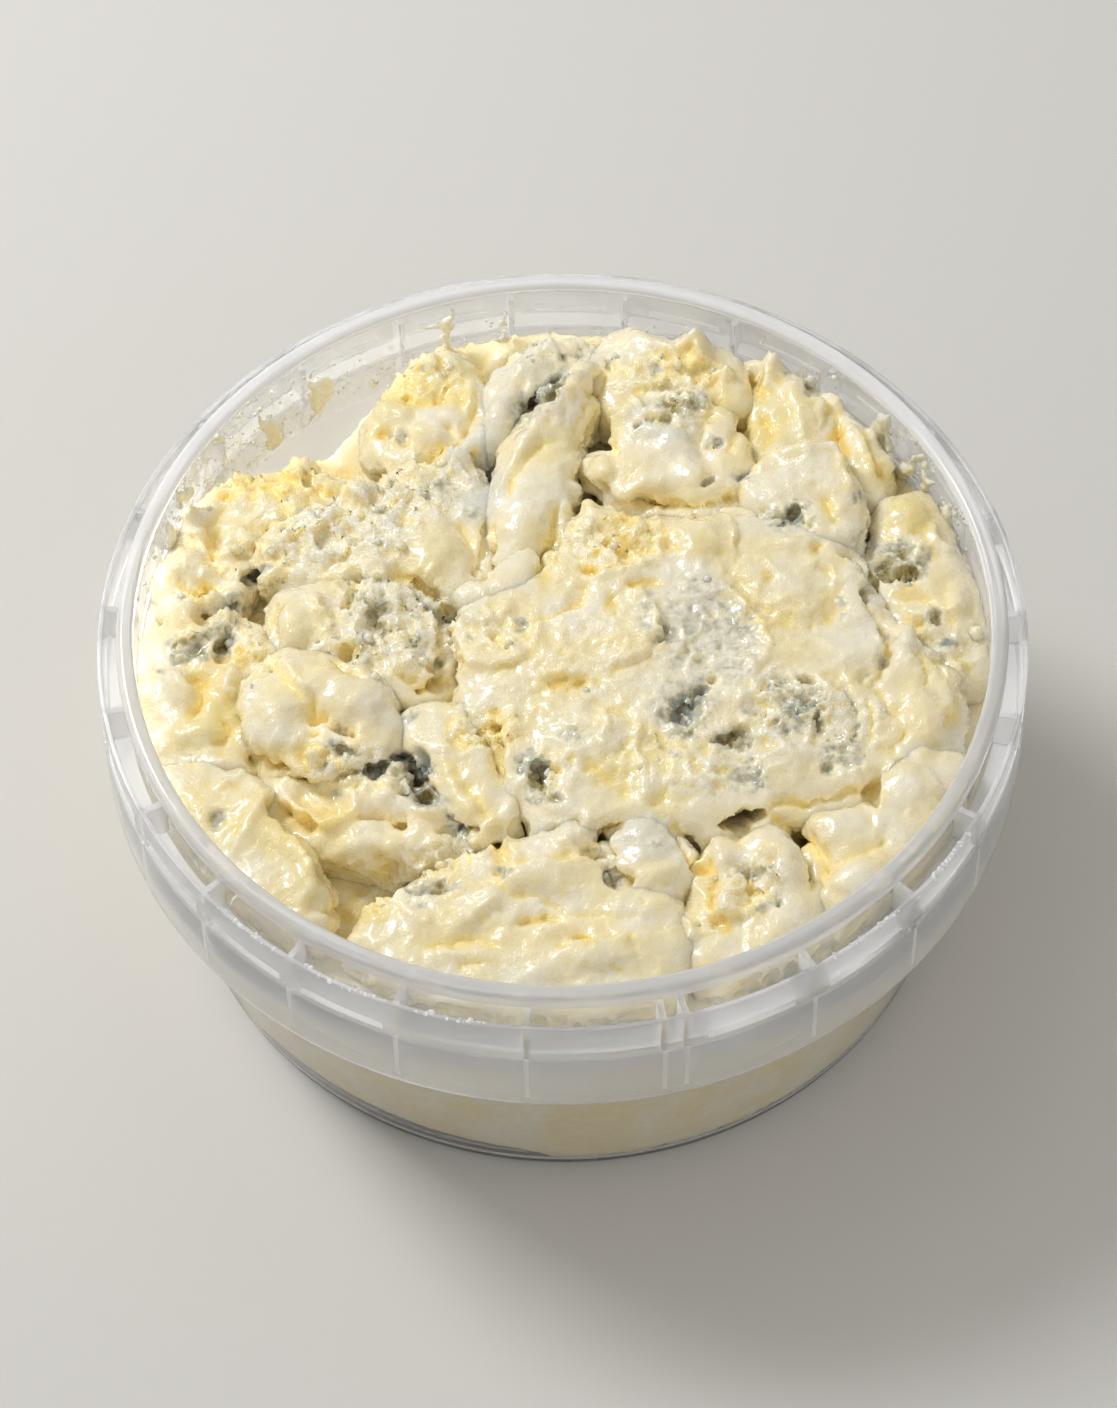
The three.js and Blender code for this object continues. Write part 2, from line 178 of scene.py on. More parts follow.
SPIN_STEPS = 180
SMOOTH_ANGLE = math.radians(35)
print("collar radius and rim height in mm:", round(COLLAR_R, 2), round(RIM_TOP, 2))


def inner_radius(z):
    """The inside of the wall at a height, in millimetres."""
    slope = (WALL_TOP_R - BASE_EDGE_R) / (GUTTER_UNDERSIDE - BASE_CORNER)
    return np.minimum(RIM_INNER_R, BASE_EDGE_R + slope * (z - BASE_CORNER) - WALL_THICK)

# %% The tub's profile
def arc(middle_r, middle_z, radius, start, end, steps):
    """Points of an arc in the section, from one angle to another, in degrees."""
    angles = np.radians(np.linspace(start, end, steps))
    return [(middle_r + radius * math.cos(a), middle_z + radius * math.sin(a)) for a in angles]


def tub_profile():
    soft = 0.22
    guard_outer = COLLAR_R - COLLAR_STEP
    guard_inner = guard_outer - COLLAR_WALL
    skirt_inner = COLLAR_R - COLLAR_WALL
    bead_r = 1.0
    under = arc(BASE_FLAT_R, BASE_CORNER, BASE_CORNER, -90, -8, 7)
    skirt = [
        (WALL_TOP_R, GUTTER_UNDERSIDE - 0.5), (WALL_TOP_R + 0.5, GUTTER_UNDERSIDE),
        (skirt_inner - 0.5, GUTTER_UNDERSIDE), (skirt_inner, GUTTER_UNDERSIDE - 0.5),
        (skirt_inner, SKIRT_BOTTOM + soft),
        *arc(COLLAR_R - COLLAR_WALL / 2, SKIRT_BOTTOM + COLLAR_WALL / 2, COLLAR_WALL / 2, 180, 360, 7),
        (COLLAR_R, GUTTER_UNDERSIDE - 0.05), (COLLAR_R - 0.08, GUTTER_UNDERSIDE + 0.1),
        (guard_outer, GUTTER_UNDERSIDE + COLLAR_STEP), (guard_outer, GUTTER_FLOOR + 2.2),
        (guard_outer - 0.05, GUTTER_FLOOR + 2.3),
    ]
    guard = [
        *arc(guard_outer - soft, GUARD_TOP - soft, soft, 0, 90, 4),
        *arc(guard_inner + soft, GUARD_TOP - soft, soft, 90, 180, 4),
        (guard_inner, GUTTER_FLOOR + 0.4), (guard_inner - 0.4, GUTTER_FLOOR),
        (NECK_R + 0.4, GUTTER_FLOOR), (NECK_R, GUTTER_FLOOR + 0.4),
        (NECK_R, BEAD_UNDERSIDE - 0.2), (NECK_R + 0.1, BEAD_UNDERSIDE),
    ]
    bead = [
        *arc(RIM_OUTER_R - 0.3, BEAD_UNDERSIDE + 0.3, 0.3, -90, 0, 4),
        *arc(RIM_OUTER_R - bead_r, RIM_TOP - bead_r, bead_r, 0, 90, 8),
        *arc(RIM_INNER_R + 0.7, RIM_TOP - 0.7, 0.7, 90, 180, 7),
    ]
    inner_corner = BASE_THICK + BASE_CORNER
    inside = [
        (RIM_INNER_R, GUTTER_FLOOR + 0.3),
        (float(inner_radius(inner_corner)), inner_corner),
        (float(inner_radius(inner_corner)) - 0.7, BASE_THICK + 0.3 * BASE_CORNER),
        (BASE_FLAT_R - WALL_THICK, BASE_THICK),
        (0.0, BASE_THICK),
    ]
    return [(0.0, 0.0), *under, *skirt, *guard, *bead, *inside]


PROFILE = tub_profile()
print("points in the tub's profile:", len(PROFILE))

# %% Draw the section and spin it
def extrude_line(points):
    """From the one selected point, extrudes a line through a list of points in metres."""
    for a, b in zip(points, points[1:]):
        bpy.ops.mesh.extrude_region_move(TRANSFORM_OT_translate={"value": tuple(Vector(b) - Vector(a))})


def make_tub():
    bpy.ops.object.select_all(action="DESELECT")
    line = [(r * MM, 0.0, z * MM) for r, z in PROFILE]
    bpy.ops.mesh.primitive_plane_add(size=MM, location=line[0])
    tub = bpy.context.object
    tub.name = "clear_tub"
    settle(tub)
    edit(
        tub,
        lambda: bpy.ops.mesh.merge(type="CENTER"),
        lambda: extrude_line(line),
        lambda: bpy.ops.mesh.select_all(action="SELECT"),
        lambda: bpy.ops.mesh.spin(steps=SPIN_STEPS, angle=2 * math.pi, center=(0, 0, 0), axis=(0, 0, 1)),
        lambda: bpy.ops.mesh.select_all(action="SELECT"),
        lambda: bpy.ops.mesh.remove_doubles(threshold=0.01 * MM),
        lambda: bpy.ops.mesh.normals_make_consistent(inside=False),
    )
    return tub


tub = make_tub()
print("tub:", triangles(tub), "triangles")

# %% [markdown]
# ## Ribs, gussets and drain slots
# Inside the collar thin plates cross the gutter, and below its floor a triangular gusset stiffens the skirt
# at each plate. Between them long slots let water out of the gutter. Plates and gussets are one small box
# each, shaped once and turned round the axis, then joined to the wall with a boolean, as the mould makes them
# in one.

# %% Where the ribs stand
FRONT_RIB_ANGLES = [-63.4, -49.4, -35.3, -20.9, -5.1, 11.3, 14.0, 30.6, 46.4, 60.3]
REAR_RIB_GAPS = 15
RIB_THICK = 0.8
GUSSET_DROP = 8.4
GUSSET_THICK = 0.6
SLOT_LENGTH = 11.5
SLOT_HEIGHT = 1.5
SLOT_BOTTOM = GUTTER_FLOOR + 0.1
SLOT_MIN_CELL = 12
PLAIN_CELLS = (-21, 14.5)        # the two cells between these angles have no slot
PLATE_BITE = 0.4                 # how far a plate or a gusset reaches into the walls that it joins
PLATE_DROP = 0.35                # how far a plate stays below and inside the guard ring


def rib_angles():
    first, last = FRONT_RIB_ANGLES[0], FRONT_RIB_ANGLES[-1]
    step = (first + 360 - last) / REAR_RIB_GAPS
    return FRONT_RIB_ANGLES + [last + i * step for i in range(1, REAR_RIB_GAPS)]


def slot_angles():
    """The middle of each cell between ribs that is wide enough and isn't one of the plain front cells."""
    angles = rib_angles()
    cells = zip(angles, angles[1:] + [angles[0] + 360])
    wide = [(a, b) for a, b in cells if b - a >= SLOT_MIN_CELL]
    return [(a + b) / 2 for a, b in wide if not (a >= PLAIN_CELLS[0] and b <= PLAIN_CELLS[1])]


print("ribs and slots:", len(rib_angles()), len(slot_angles()))

# %% Make one rib, copy it round, and join all to the tub
def box_between(name, low, high):
    """A box from its low to its high corner, in millimetres."""
    bpy.ops.object.select_all(action="DESELECT")
    middle = (Vector(low) + Vector(high)) / 2 * MM
    bpy.ops.mesh.primitive_cube_add(size=1, location=middle, scale=(Vector(high) - Vector(low)) * MM)
    box = bpy.context.object
    box.name = name
    settle(box)
    return box


def copies_round(piece, angles):
    """Copies a piece drawn at the front to each angle, and joins the copies into one."""
    copies = []
    for angle in angles:
        only(piece)
        bpy.ops.object.duplicate()
        copy = bpy.context.object
        copy.rotation_euler = (0, 0, math.radians(angle))
        settle(copy)
        copies.append(copy)
    bpy.data.objects.remove(piece)
    only(copies[0])
    for copy in copies:
        copy.select_set(True)
    bpy.ops.object.join()
    return bpy.context.object


def make_plate():
    low = (-RIB_THICK / 2, -(COLLAR_R - COLLAR_STEP - PLATE_DROP), GUTTER_FLOOR - PLATE_BITE)
    high = (RIB_THICK / 2, -(NECK_R - PLATE_BITE), GUARD_TOP - PLATE_DROP)
    return box_between("plate", low, high)


def choose(piece, test):
    """Selects only the points that pass a test on their place in millimetres, and goes into edit mode."""
    edit(piece, lambda: bpy.ops.mesh.select_all(action="DESELECT"))
    for vertex in piece.data.vertices:
        vertex.select = test(vertex.co / MM)
    bpy.ops.object.mode_set(mode="EDIT")


def make_gusset():
    """A box whose lower inner edge is slid out to the skirt, which leaves a triangle."""
    outer = COLLAR_R + 0.03
    low = (-GUSSET_THICK / 2, -outer, GUTTER_UNDERSIDE - GUSSET_DROP)
    high = (GUSSET_THICK / 2, -(WALL_TOP_R - PLATE_BITE), GUTTER_UNDERSIDE + PLATE_DROP)
    gusset = box_between("gusset", low, high)
    choose(gusset, lambda place: place.z < low[2] + 1 and place.y > -(outer - 1))
    bpy.ops.transform.translate(value=(0, -(outer - WALL_TOP_R - 0.2) * MM, 0))
    bpy.ops.object.mode_set(mode="OBJECT")
    return gusset


def make_slot():
    depth = 1.6 * COLLAR_WALL
    low = (-SLOT_LENGTH / 2, -(COLLAR_R + depth), SLOT_BOTTOM)
    high = (SLOT_LENGTH / 2, -(COLLAR_R - depth), SLOT_BOTTOM + SLOT_HEIGHT)
    return box_between("slot", low, high)


def cut_or_join(piece, tool, operation):
    modify(piece, "BOOLEAN", object=tool, operation=operation, solver="EXACT")
    bpy.data.objects.remove(tool)


cut_or_join(tub, copies_round(make_plate(), rib_angles()), "UNION")
cut_or_join(tub, copies_round(make_gusset(), rib_angles()), "UNION")
cut_or_join(tub, copies_round(make_slot(), slot_angles()), "DIFFERENCE")
only(tub)
bpy.ops.object.shade_smooth_by_angle(angle=SMOOTH_ANGLE)
print("tub with ribs and slots:", triangles(tub), "triangles")

# %% [markdown]
# ## The cheese
# Each scoop of cheese is a solid of its own in the frame, with flat facets and a thin gap round it. Real
# scoops stick together: they were pressed, and only the deepest gaps stay open. A sculptor would rough out
# such lumps, push them into one another, and then work the whole surface at once. The same order is used
# here. The frame's solid is copied and merged, remeshed into an even skin, smoothed, and swollen while it is
# lowered a little, so that the lumps keep their height and meet in shallow creases.

# %% Copy a solid and give it an even skin
SKIN_STEP = 0.0003
SKIN_SMOOTHING = 10
SWELL = 1.3
SINK = 1.08
WALL_BITE = 0.08                 # how far the filling reaches into the wall


def copy_node(node, name):
    """A merged copy of a node's mesh, ready to be worked on."""
    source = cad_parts[node]
    piece = bpy.data.objects.new(name, source.data.copy())
    bpy.context.scene.collection.objects.link(piece)
    piece.data.materials.clear()
    edit(piece, lambda: bpy.ops.mesh.remove_doubles(threshold=0.002 * MM))
    return piece


def skin(piece, step, smoothing):
    modify(piece, "REMESH", mode="VOXEL", voxel_size=step, use_smooth_shade=True)
    modify(piece, "SMOOTH", factor=0.5, iterations=smoothing)


def keep_inside(points):
    """Pulls points that have left the pot sideways back to its wall."""
    radius = np.hypot(points[:, 0], points[:, 1])
    most = inner_radius(np.maximum(points[:, 2], BASE_THICK)) + WALL_BITE
    points[:, :2] *= np.minimum(1, most / np.maximum(radius, 1e-6))[:, None]
    return points


LUMPS = [name for name in sorted(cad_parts) if name.startswith("cheese_") and name != "cheese_bed"]


def rough_out(node):
    lump = copy_node(node, node.replace("cheese_", "lump_"))
    skin(lump, SKIN_STEP, SKIN_SMOOTHING)
    points = points_of(lump) + SWELL * normals_of(lump)
    points[:, 2] -= SINK
    move_points(lump, keep_inside(points))
    return lump


BED_STEP = 0.0008
BED_SMOOTHING = 3
SIDE_BAND = 1.2                  # bed points this close to the wall are drawn out to it
AIR_ANGLE, AIR_SPREAD = -118, 26
AIR_TOP, AIR_FADE = 5.5, 4
AIR_IN, AIR_UP = 0.045, 1.2


def rough_bed():
    """The mass under the lumps, drawn out to the wall, with an air gap in the corner at the front left."""
    bed = copy_node("cheese_bed", "bed")
    skin(bed, BED_STEP, BED_SMOOTHING)
    points = points_of(bed)
    radius = np.hypot(points[:, 0], points[:, 1])
    wall = inner_radius(points[:, 2])
    stretch = np.where(radius > wall - SIDE_BAND, (wall + WALL_BITE) / np.maximum(radius, 1e-6), 1)
    points[:, :2] *= stretch[:, None]
    away = np.abs(np.degrees(np.arctan2(points[:, 1], points[:, 0])) - AIR_ANGLE)
    gap = np.clip(1 - away / AIR_SPREAD, 0, 1) * np.clip((AIR_TOP - points[:, 2]) / AIR_FADE, 0, 1)
    points[:, :2] *= (1 - AIR_IN * gap)[:, None]
    points[:, 2] += AIR_UP * gap
    move_points(bed, points)
    return bed


lumps = {node: rough_out(node) for node in LUMPS}
bed = rough_bed()
cheeses = [*lumps.values(), bed]
print("lumps:", len(lumps), "with", sum(map(triangles, lumps.values())), "triangles")
print("most in one lump:", max(map(triangles, lumps.values())), "and in the bed:", triangles(bed))

# %% [markdown]
# ## Reading places off the picture
# The strokes that follow are placed where the camera sees them. Each place is two numbers in millimetres, X
# to the right and Y to the back, read on a level plane near the tops of the lumps. A point that lies lower is
# seen further back than it is, so every point of the mesh is first slid along the line of sight onto that
# plane. A little noise is added to the place, which makes the edge of every stroke and stain uneven.

# %% The plan as the camera sees it, and smooth noise
READ_LEVEL = 49
SIGHT_SLIDE = 1 / math.tan(VIEW_ELEVATION)
NOISE_GRID = 24
WOBBLE_LAYERS = ((2.6, 1.0, 11), (1.3, 0.7, 13), (0.7, 0.4, 15))     # size, share, seed


def noise(points, size, seed):
    """Smooth noise from -1 to 1: random values on the corners of a grid of cubes, blended in between."""
    values = np.random.default_rng(seed).uniform(-1, 1, (NOISE_GRID,) * 3)
    spot = points / size
    cell = np.floor(spot).astype(int)
    share = spot - cell
    share = share * share * (3 - 2 * share)
    total = np.zeros(len(points))
    for corner in np.ndindex(2, 2, 2):
        weight = np.prod(np.where(corner, share, 1 - share), axis=1)
        i, j, k = ((cell + corner) % NOISE_GRID).T
        total += weight * values[i, j, k]
    return total


def seen_plan(points, wobble=0.55):
    """Where the camera sees each point on the level plane, with an uneven shift of about the wobble."""
    plan = np.stack([points[:, 0], points[:, 1] - SIGHT_SLIDE * (READ_LEVEL - points[:, 2])], axis=1)
    for size, share, seed in WOBBLE_LAYERS:
        for axis in (0, 1):
            plan[:, axis] += wobble * share * noise(points, size, seed + axis)
    return plan


print("a point 10 mm lower is seen further back by", round(10 * SIGHT_SLIDE, 2), "mm")

# %% [markdown]
# ## Strokes
# Six strokes are enough for soft cheese. A ridge is what the spoon pushes up, a crease is where two lumps
# meet, a lap is a layer that was folded over and ends in a steep edge, a pit is a hole or a dent, and a dome
# is a bead or a swelling. A spike is a peak that was pulled up. Each is a small function of the place in the
# plan. A ridge, a crease and a lap take a width, a height and the x and y of each place that their path
# passes. The others take x, y, half width, half length, height and, where they are turned, an angle.

# %% The strokes that follow a path
CURVE_STEPS = 4                  # straight steps between two places of a path
TAPER_START, TAPER_RISE = 0.35, 5


def follow(plan, path):
    """For each place: its distance to a smooth path, its side (1 is left) and a taper to the path's ends."""
    points = np.reshape(path, (-1, 2)).astype(float)
    if len(points) > 2:
        padded = np.vstack([2 * points[0] - points[1], points, 2 * points[-1] - points[-2]])
        t = np.linspace(0, 1, CURVE_STEPS + 1)[:-1, None]
        curve = [
            0.5 * (2 * b + (c - a) * t + (2 * a - 5 * b + 4 * c - d) * t**2 + (3 * b - a - 3 * c + d) * t**3)
            for a, b, c, d in zip(padded, padded[1:], padded[2:], padded[3:])
        ]
        points = np.vstack([*curve, points[-1:]])
    steps = np.hypot(*np.diff(points, axis=0).T)
    walked = np.concatenate([[0], np.cumsum(steps)])
    nearest = np.full(len(plan), np.inf)
    side = np.ones(len(plan))
    along = np.zeros(len(plan))
    for a, b, step, start in zip(points, points[1:], steps, walked):
        way = (b - a) / step
        reach = np.clip((plan - a) @ way, 0, step)
        off = plan - a - reach[:, None] * way
        distance = np.hypot(off[:, 0], off[:, 1])
        closer = distance < nearest
        nearest[closer] = distance[closer]
        side[closer] = np.sign(way[0] * off[closer, 1] - way[1] * off[closer, 0])
        along[closer] = (start + reach[closer]) / walked[-1]
    taper = 1
    for share in (along, 1 - along):
        taper = taper * np.clip(TAPER_RISE * share + TAPER_START, 0, 1)
    return nearest, side, taper


def ridge(plan, width, height, *path):
    away, _, taper = follow(plan, path)
    return height * taper * np.exp(-((away / width) ** 2))


def crease(plan, width, depth, *path):
    away, _, taper = follow(plan, path)
    return -depth * taper * np.exp(-1.5 * away / width)


LAP_BACK, LAP_FRONT = 3, 0.3     # how far a lap slopes to either side, in widths


def lap(plan, width, height, *path):
    """A raised layer on the left of the path, steep towards the right and sloping back to the left."""
    away, side, taper = follow(plan, path)
    back, front = np.exp(-away / (LAP_BACK * width)), np.clip(1 - away / (LAP_FRONT * width), 0, 1)
    return height * taper * np.where(side > 0, back, front)


print("a ridge, a crease and a lap 1 mm wide and high, on their path:")
print([round(float(make(np.array([[5, 0.001]]), 1, 1, 0, 0, 10, 0)[0]), 2) for make in (ridge, crease, lap)])

# %% The strokes that fill an oval
def oval(plan, x, y, width, length, turn=0):
    """Distance from the middle of an oval, where 1 is its edge. The turn is in degrees."""
    c, s = math.cos(math.radians(turn)), math.sin(math.radians(turn))
    u = ((plan[:, 0] - x) * c + (plan[:, 1] - y) * s) / width
    v = ((plan[:, 1] - y) * c - (plan[:, 0] - x) * s) / length
    return np.hypot(u, v)


def ease(value):
    value = np.clip(value, 0, 1)
    return value * value * (3 - 2 * value)


BEAD_SIZE = 1.7
BEAD_POWER, FADE_POWER = 0.6, 1.3
PIT_GAIN = 0.72
PIT_EDGE, PIT_FADE = 1.25, 0.7


def pit(plan, x, y, width, length, depth, turn=0):
    return -PIT_GAIN * depth * ease((PIT_EDGE - oval(plan, x, y, width, length, turn)) / PIT_FADE)


def dome(plan, x, y, width, length, height, turn=0):
    """A small one is a bead with a crisp foot, a large one a swelling that fades out."""
    away = oval(plan, x, y, width, length, turn)
    power = BEAD_POWER if max(width, length) < BEAD_SIZE else FADE_POWER
    return height * np.clip(1 - away**2, 0, 1) ** power


def spike(plan, x, y, width, length, height, turn=0):
    return height * np.clip(1 - oval(plan, x, y, width, length, turn), 0, 1) ** FADE_POWER


print("a pit, a dome and a spike 2 mm wide and 1 mm high, in their middle:")
print([round(float(make(np.zeros((1, 2)), 0, 0, 2, 2, 1)[0]), 2) for make in (pit, dome, spike)])

# %% Adding strokes up
REACH = {ridge: 4, crease: 4, lap: 9, pit: 1.3, dome: 1.3, spike: 1.3}     # in widths


def reach_of(make, row):
    """The box of the plan that a stroke touches."""
    if make in (pit, dome, spike):
        path, width = np.reshape(row[:2], (1, 2)), max(row[2:4])
    else:
        path, width = np.reshape(row[2:], (-1, 2)), row[0]
    return path.min(axis=0) - REACH[make] * width, path.max(axis=0) + REACH[make] * width


def total_of(plan, strokes):
    """The sum of all strokes at each place, in millimetres."""
    total = np.zeros(len(plan))
    for make, row in strokes:
        low, high = reach_of(make, row)
        near = np.flatnonzero(((plan > low) & (plan < high)).all(axis=1))
        if len(near):
            total[near] += make(plan[near], *row)
    return total


def count(strokes):
    return sum(map(len, strokes.values()))


print("a lap 1 mm wide reaches", REACH[lap], "mm")

# %% [markdown]
# ### The big slab and the wedge behind it
# The largest scoop lies over the middle. Its left end is knobbly, a thin layer ends in an edge across its
# middle and leaves a smooth grey plate bare, and its skin is wrinkled where whey has dried. Dark pockets open
# at its foot.

# %% Strokes on the slab and the wedge
SLAB = {ridge: [
    (0.7, 0.5, -4.3, -3.6, -3.4, -1.4, -2.6, 0.6),
    (0.45, 0.45, 18.5, 6.3, 21.5, 5, 24, 2.2, 25.4, -1, 25.2, -4.5, 22.5, -8.4),
    (0.35, 0.3, 15.8, -7, 16.5, -2, 18.2, 0.5, 18.2, 3.5), (0.6, 0.6, 30.8, 9.8, 34, 9, 34.6, 5),
    (0.35, 0.5, 4.8, -12.6, 5.3, -14.6, 4.9, -17), (0.3, 0.45, 3.8, -13.4, 4.2, -15.8),
    (0.35, 0.5, 8.6, -12.4, 9.8, -14, 11, -14.6),
    (0.3, 0.5, 10.2, -16.4, 11.2, -15.9, 11.9, -16.8, 11.5, -18, 10.4, -18.3),
    (0.4, 0.6, 9.2, -15.2, 8.6, -17, 8.9, -19), (0.35, 0.5, 8.2, -18.2, 7.2, -20.5, 6.9, -23),
    (0.4, 0.55, 9.4, -19.4, 9.4, -22.5, 9.8, -25.8), (0.35, 0.4, 10, -10.4, 12, -11.6, 11.5, -13.8),
    (1, 0.9, -7.2, -18.5, -6.6, -22, -6.4, -25.5, -7, -28.5),
    (0.5, 0.6, -5, -19.8, -2.6, -20.6, -0.6, -20.4, 1, -19),
    (0.8, 0.6, 0.8, 20.3, 0, 18.5, -0.2, 16, 0.3, 13), (0.8, 0.5, 4, 7.6, 8, 9, 12, 10.6, 17, 11),
], crease: [
    (0.6, 0.9, -4, -4, -4.3, -1, -3.4, 1, 0, 2.4, 1.6, 4.6, 3.5, 7),
    (1.8, 0.7, 20.5, 9.5, 23, 5.8, 26.5, 1.6, 30.5, -0.6, 34, 1.8, 34.8, 5.5, 33.4, 8.4),
    (0.8, 1.8, 38.9, -8.5, 40.5, -5, 40.4, 0.2, 38.9, 3.4, 39, 7.2, 36.8, 10.7),
    (1.5, 0.6, 4.5, -11.5, 8, -13, 11.5, -15, 13, -19), (1.6, 0.8, 2, -21, 5, -22, 8, -26),
    (1.2, 0.6, 10, -27, 12.4, -25.8, 13.5, -23), (0.6, 1, 35.2, -10, 36, -14, 35.4, -18),
    (0.6, 0.8, 37.5, -11, 38.6, -15, 37.5, -19), (0.8, 0.9, 38.5, -9, 40.5, -12.5, 42.2, -16, 41, -19),
    (0.8, 0.9, 44.2, -4.5, 46, -7.5, 45, -10),
    (0.5, 1.6, 25, -28.3, 26.8, -26.6, 29.5, -27.8, 32, -26.4, 35.5, -25.6, 38.2, -26),
    (0.6, 1.7, -4.6, -20.2, -3.4, -22, -2.8, -24.4, -1, -25.6),
], lap: [
    (1, 0.8, -13.5, -4.2, -10.5, -5.8, -6.5, -5.2, -4.2, -3),
    (1.2, 1, 5.5, -6.5, 9, -5.2, 11.5, -2, 12.3, 1, 11.5, 4.5, 9, 6.8),
    (0.9, 0.8, 38.3, -8.5, 40, -5, 39.8, 0.2, 38.2, 3.4, 38.4, 7.2, 36, 10.5),
    (0.9, 0.6, -3.2, -9.4, -1.6, -8, 1.5, -7.2, 5, -8.4, 8, -10), (1, 0.9, 45.5, -19, 46.6, -16, 48.3, -12.2),
    (0.8, 0.8, 22.2, 11, 22.4, 15, 20.5, 18.2),
], pit: [
    (-8.3, -1.6, 1.4, 1, 1.2), (-11.7, -1.3, 0.7, 0.8, 0.7), (-5.2, 0.7, 0.9, 0.7, 0.9),
    (-7.8, -3.2, 0.8, 0.5, 0.6), (12.6, -0.8, 0.8, 1.5, 1.1), (10.6, -3, 1, 0.5, 0.8, 30),
    (6.2, 4, 0.9, 1.5, 0.6), (6.5, 1.8, 0.5, 0.8, 0.3), (15.2, -12.6, 1.9, 2.3, 1.9),
    (16.8, -10.6, 0.9, 1.3, 1.6), (15.2, -16, 1.3, 0.8, 1.2), (21.6, -16.4, 1.2, 1.6, 2.6),
    (19.8, -17.3, 1.4, 0.9, 1.8), (18.2, -8.6, 0.6, 0.6, 1.3), (30.3, -9, 1.3, 0.6, 1.5),
    (31.3, -15, 0.6, 1.5, 1.9), (26.4, -14.6, 0.7, 0.5, 0.9), (27.6, -16, 0.5, 0.5, 0.8),
    (29.2, -13.6, 0.8, 0.9, 1), (32.4, -22, 0.6, 0.9, 1.4), (0, -8.4, 3, 1.1, 0.9),
    (-9, -14.6, 1.6, 1.1, 1.6), (-8, -12.8, 0.8, 0.6, 0.9), (-10.6, -15.5, 0.5, 0.5, 0.9),
    (-4, -23.2, 0.9, 1.2, 2.4), (-3.1, -21.4, 0.6, 0.8, 2), (-0.9, -21.3, 0.4, 0.35, 1.1),
    (3.6, 9, 1.4, 0.9, 1.1), (8.4, 12.6, 1.2, 0.8, 1.1), (10.5, 6.9, 2.6, 0.7, 0.7),
    (5.6, 13.4, 0.8, 1.2, 0.9),
], dome: [
    (-11, 1.8, 2.2, 1.6, 0.6), (-7, 3, 1.6, 1.2, 0.5), (18.5, -1, 6.5, 8, -0.7), (28.5, 5, 4.6, 2.8, 0.6),
    (15.3, -13, 1, 0.9, 1.1), (-12.8, -12.2, 1.1, 0.8, 0.8), (-11.6, -16.8, 1, 0.7, 0.8),
    (-8.2, -17, 1, 0.9, 0.8), (-6.6, -16.2, 0.8, 0.7, 0.7), (-13.2, -15, 0.8, 1.1, 0.6),
    (2.5, -15.5, 6.5, 4.5, 0.9), (-1, -12.4, 3.5, 2, 0.5), (16, -23, 4, 3.5, 0.7), (28, -22, 5, 4, 0.7),
    (24, -10.5, 4, 3, 0.6), (33, -12, 3, 4, 0.7), (44.5, -13, 2.6, 4, 0.8), (2.6, 16.5, 2.2, 1.8, 0.7),
    (9.4, 15, 1.9, 1.3, 0.8), (6, 10.8, 1.4, 1.1, 0.7), (12.6, 13, 1.3, 1.7, 0.6), (17.5, 14, 4.5, 3.5, 1),
]}
WEDGE = {ridge: [
    (0.7, 0.8, 23.4, 20.5, 25.6, 24.8, 29.5, 27, 35.6, 28.8), (0.7, 0.8, 35.8, 28.8, 36.2, 25, 37, 21.5),
], crease: [
    (0.8, 0.9, 33.8, 20.5, 35, 17.6, 34.4, 15.2), (0.7, 0.8, 33.4, 13, 32.2, 11.4),
], pit: [
    (32.8, 23.9, 0.5, 0.25, 0.4), (32.6, 21.8, 0.4, 0.4, 0.4), (29.2, 17.2, 2.2, 1.6, 1.5),
    (26.5, 18, 0.6, 0.8, 1.2), (28.3, 15.4, 0.6, 0.4, 1.3), (31.6, 15.5, 0.5, 0.4, 0.8),
    (29.4, 17.4, 0.6, 0.5, 1.1),
], dome: [
    (28, 17.6, 0.9, 0.7, 0.9), (30.8, 17.2, 0.9, 1.1, 0.8), (36, 18.5, 1.6, 2, 0.5), (29, 12.6, 4, 1.6, 0.6),
], spike: [
    (35.7, 28.3, 1.6, 1.4, 1),
]}
print("strokes on the slab and wedge:", count(SLAB) + count(WEDGE))

# %% [markdown]
# ### The back of the heap
# Behind the slab stand a blunt chunk with a grey head, a long smooth tongue that leans against a blue vein,
# and the torn crest along the wall, where the scoop pulled up sharp peaks.

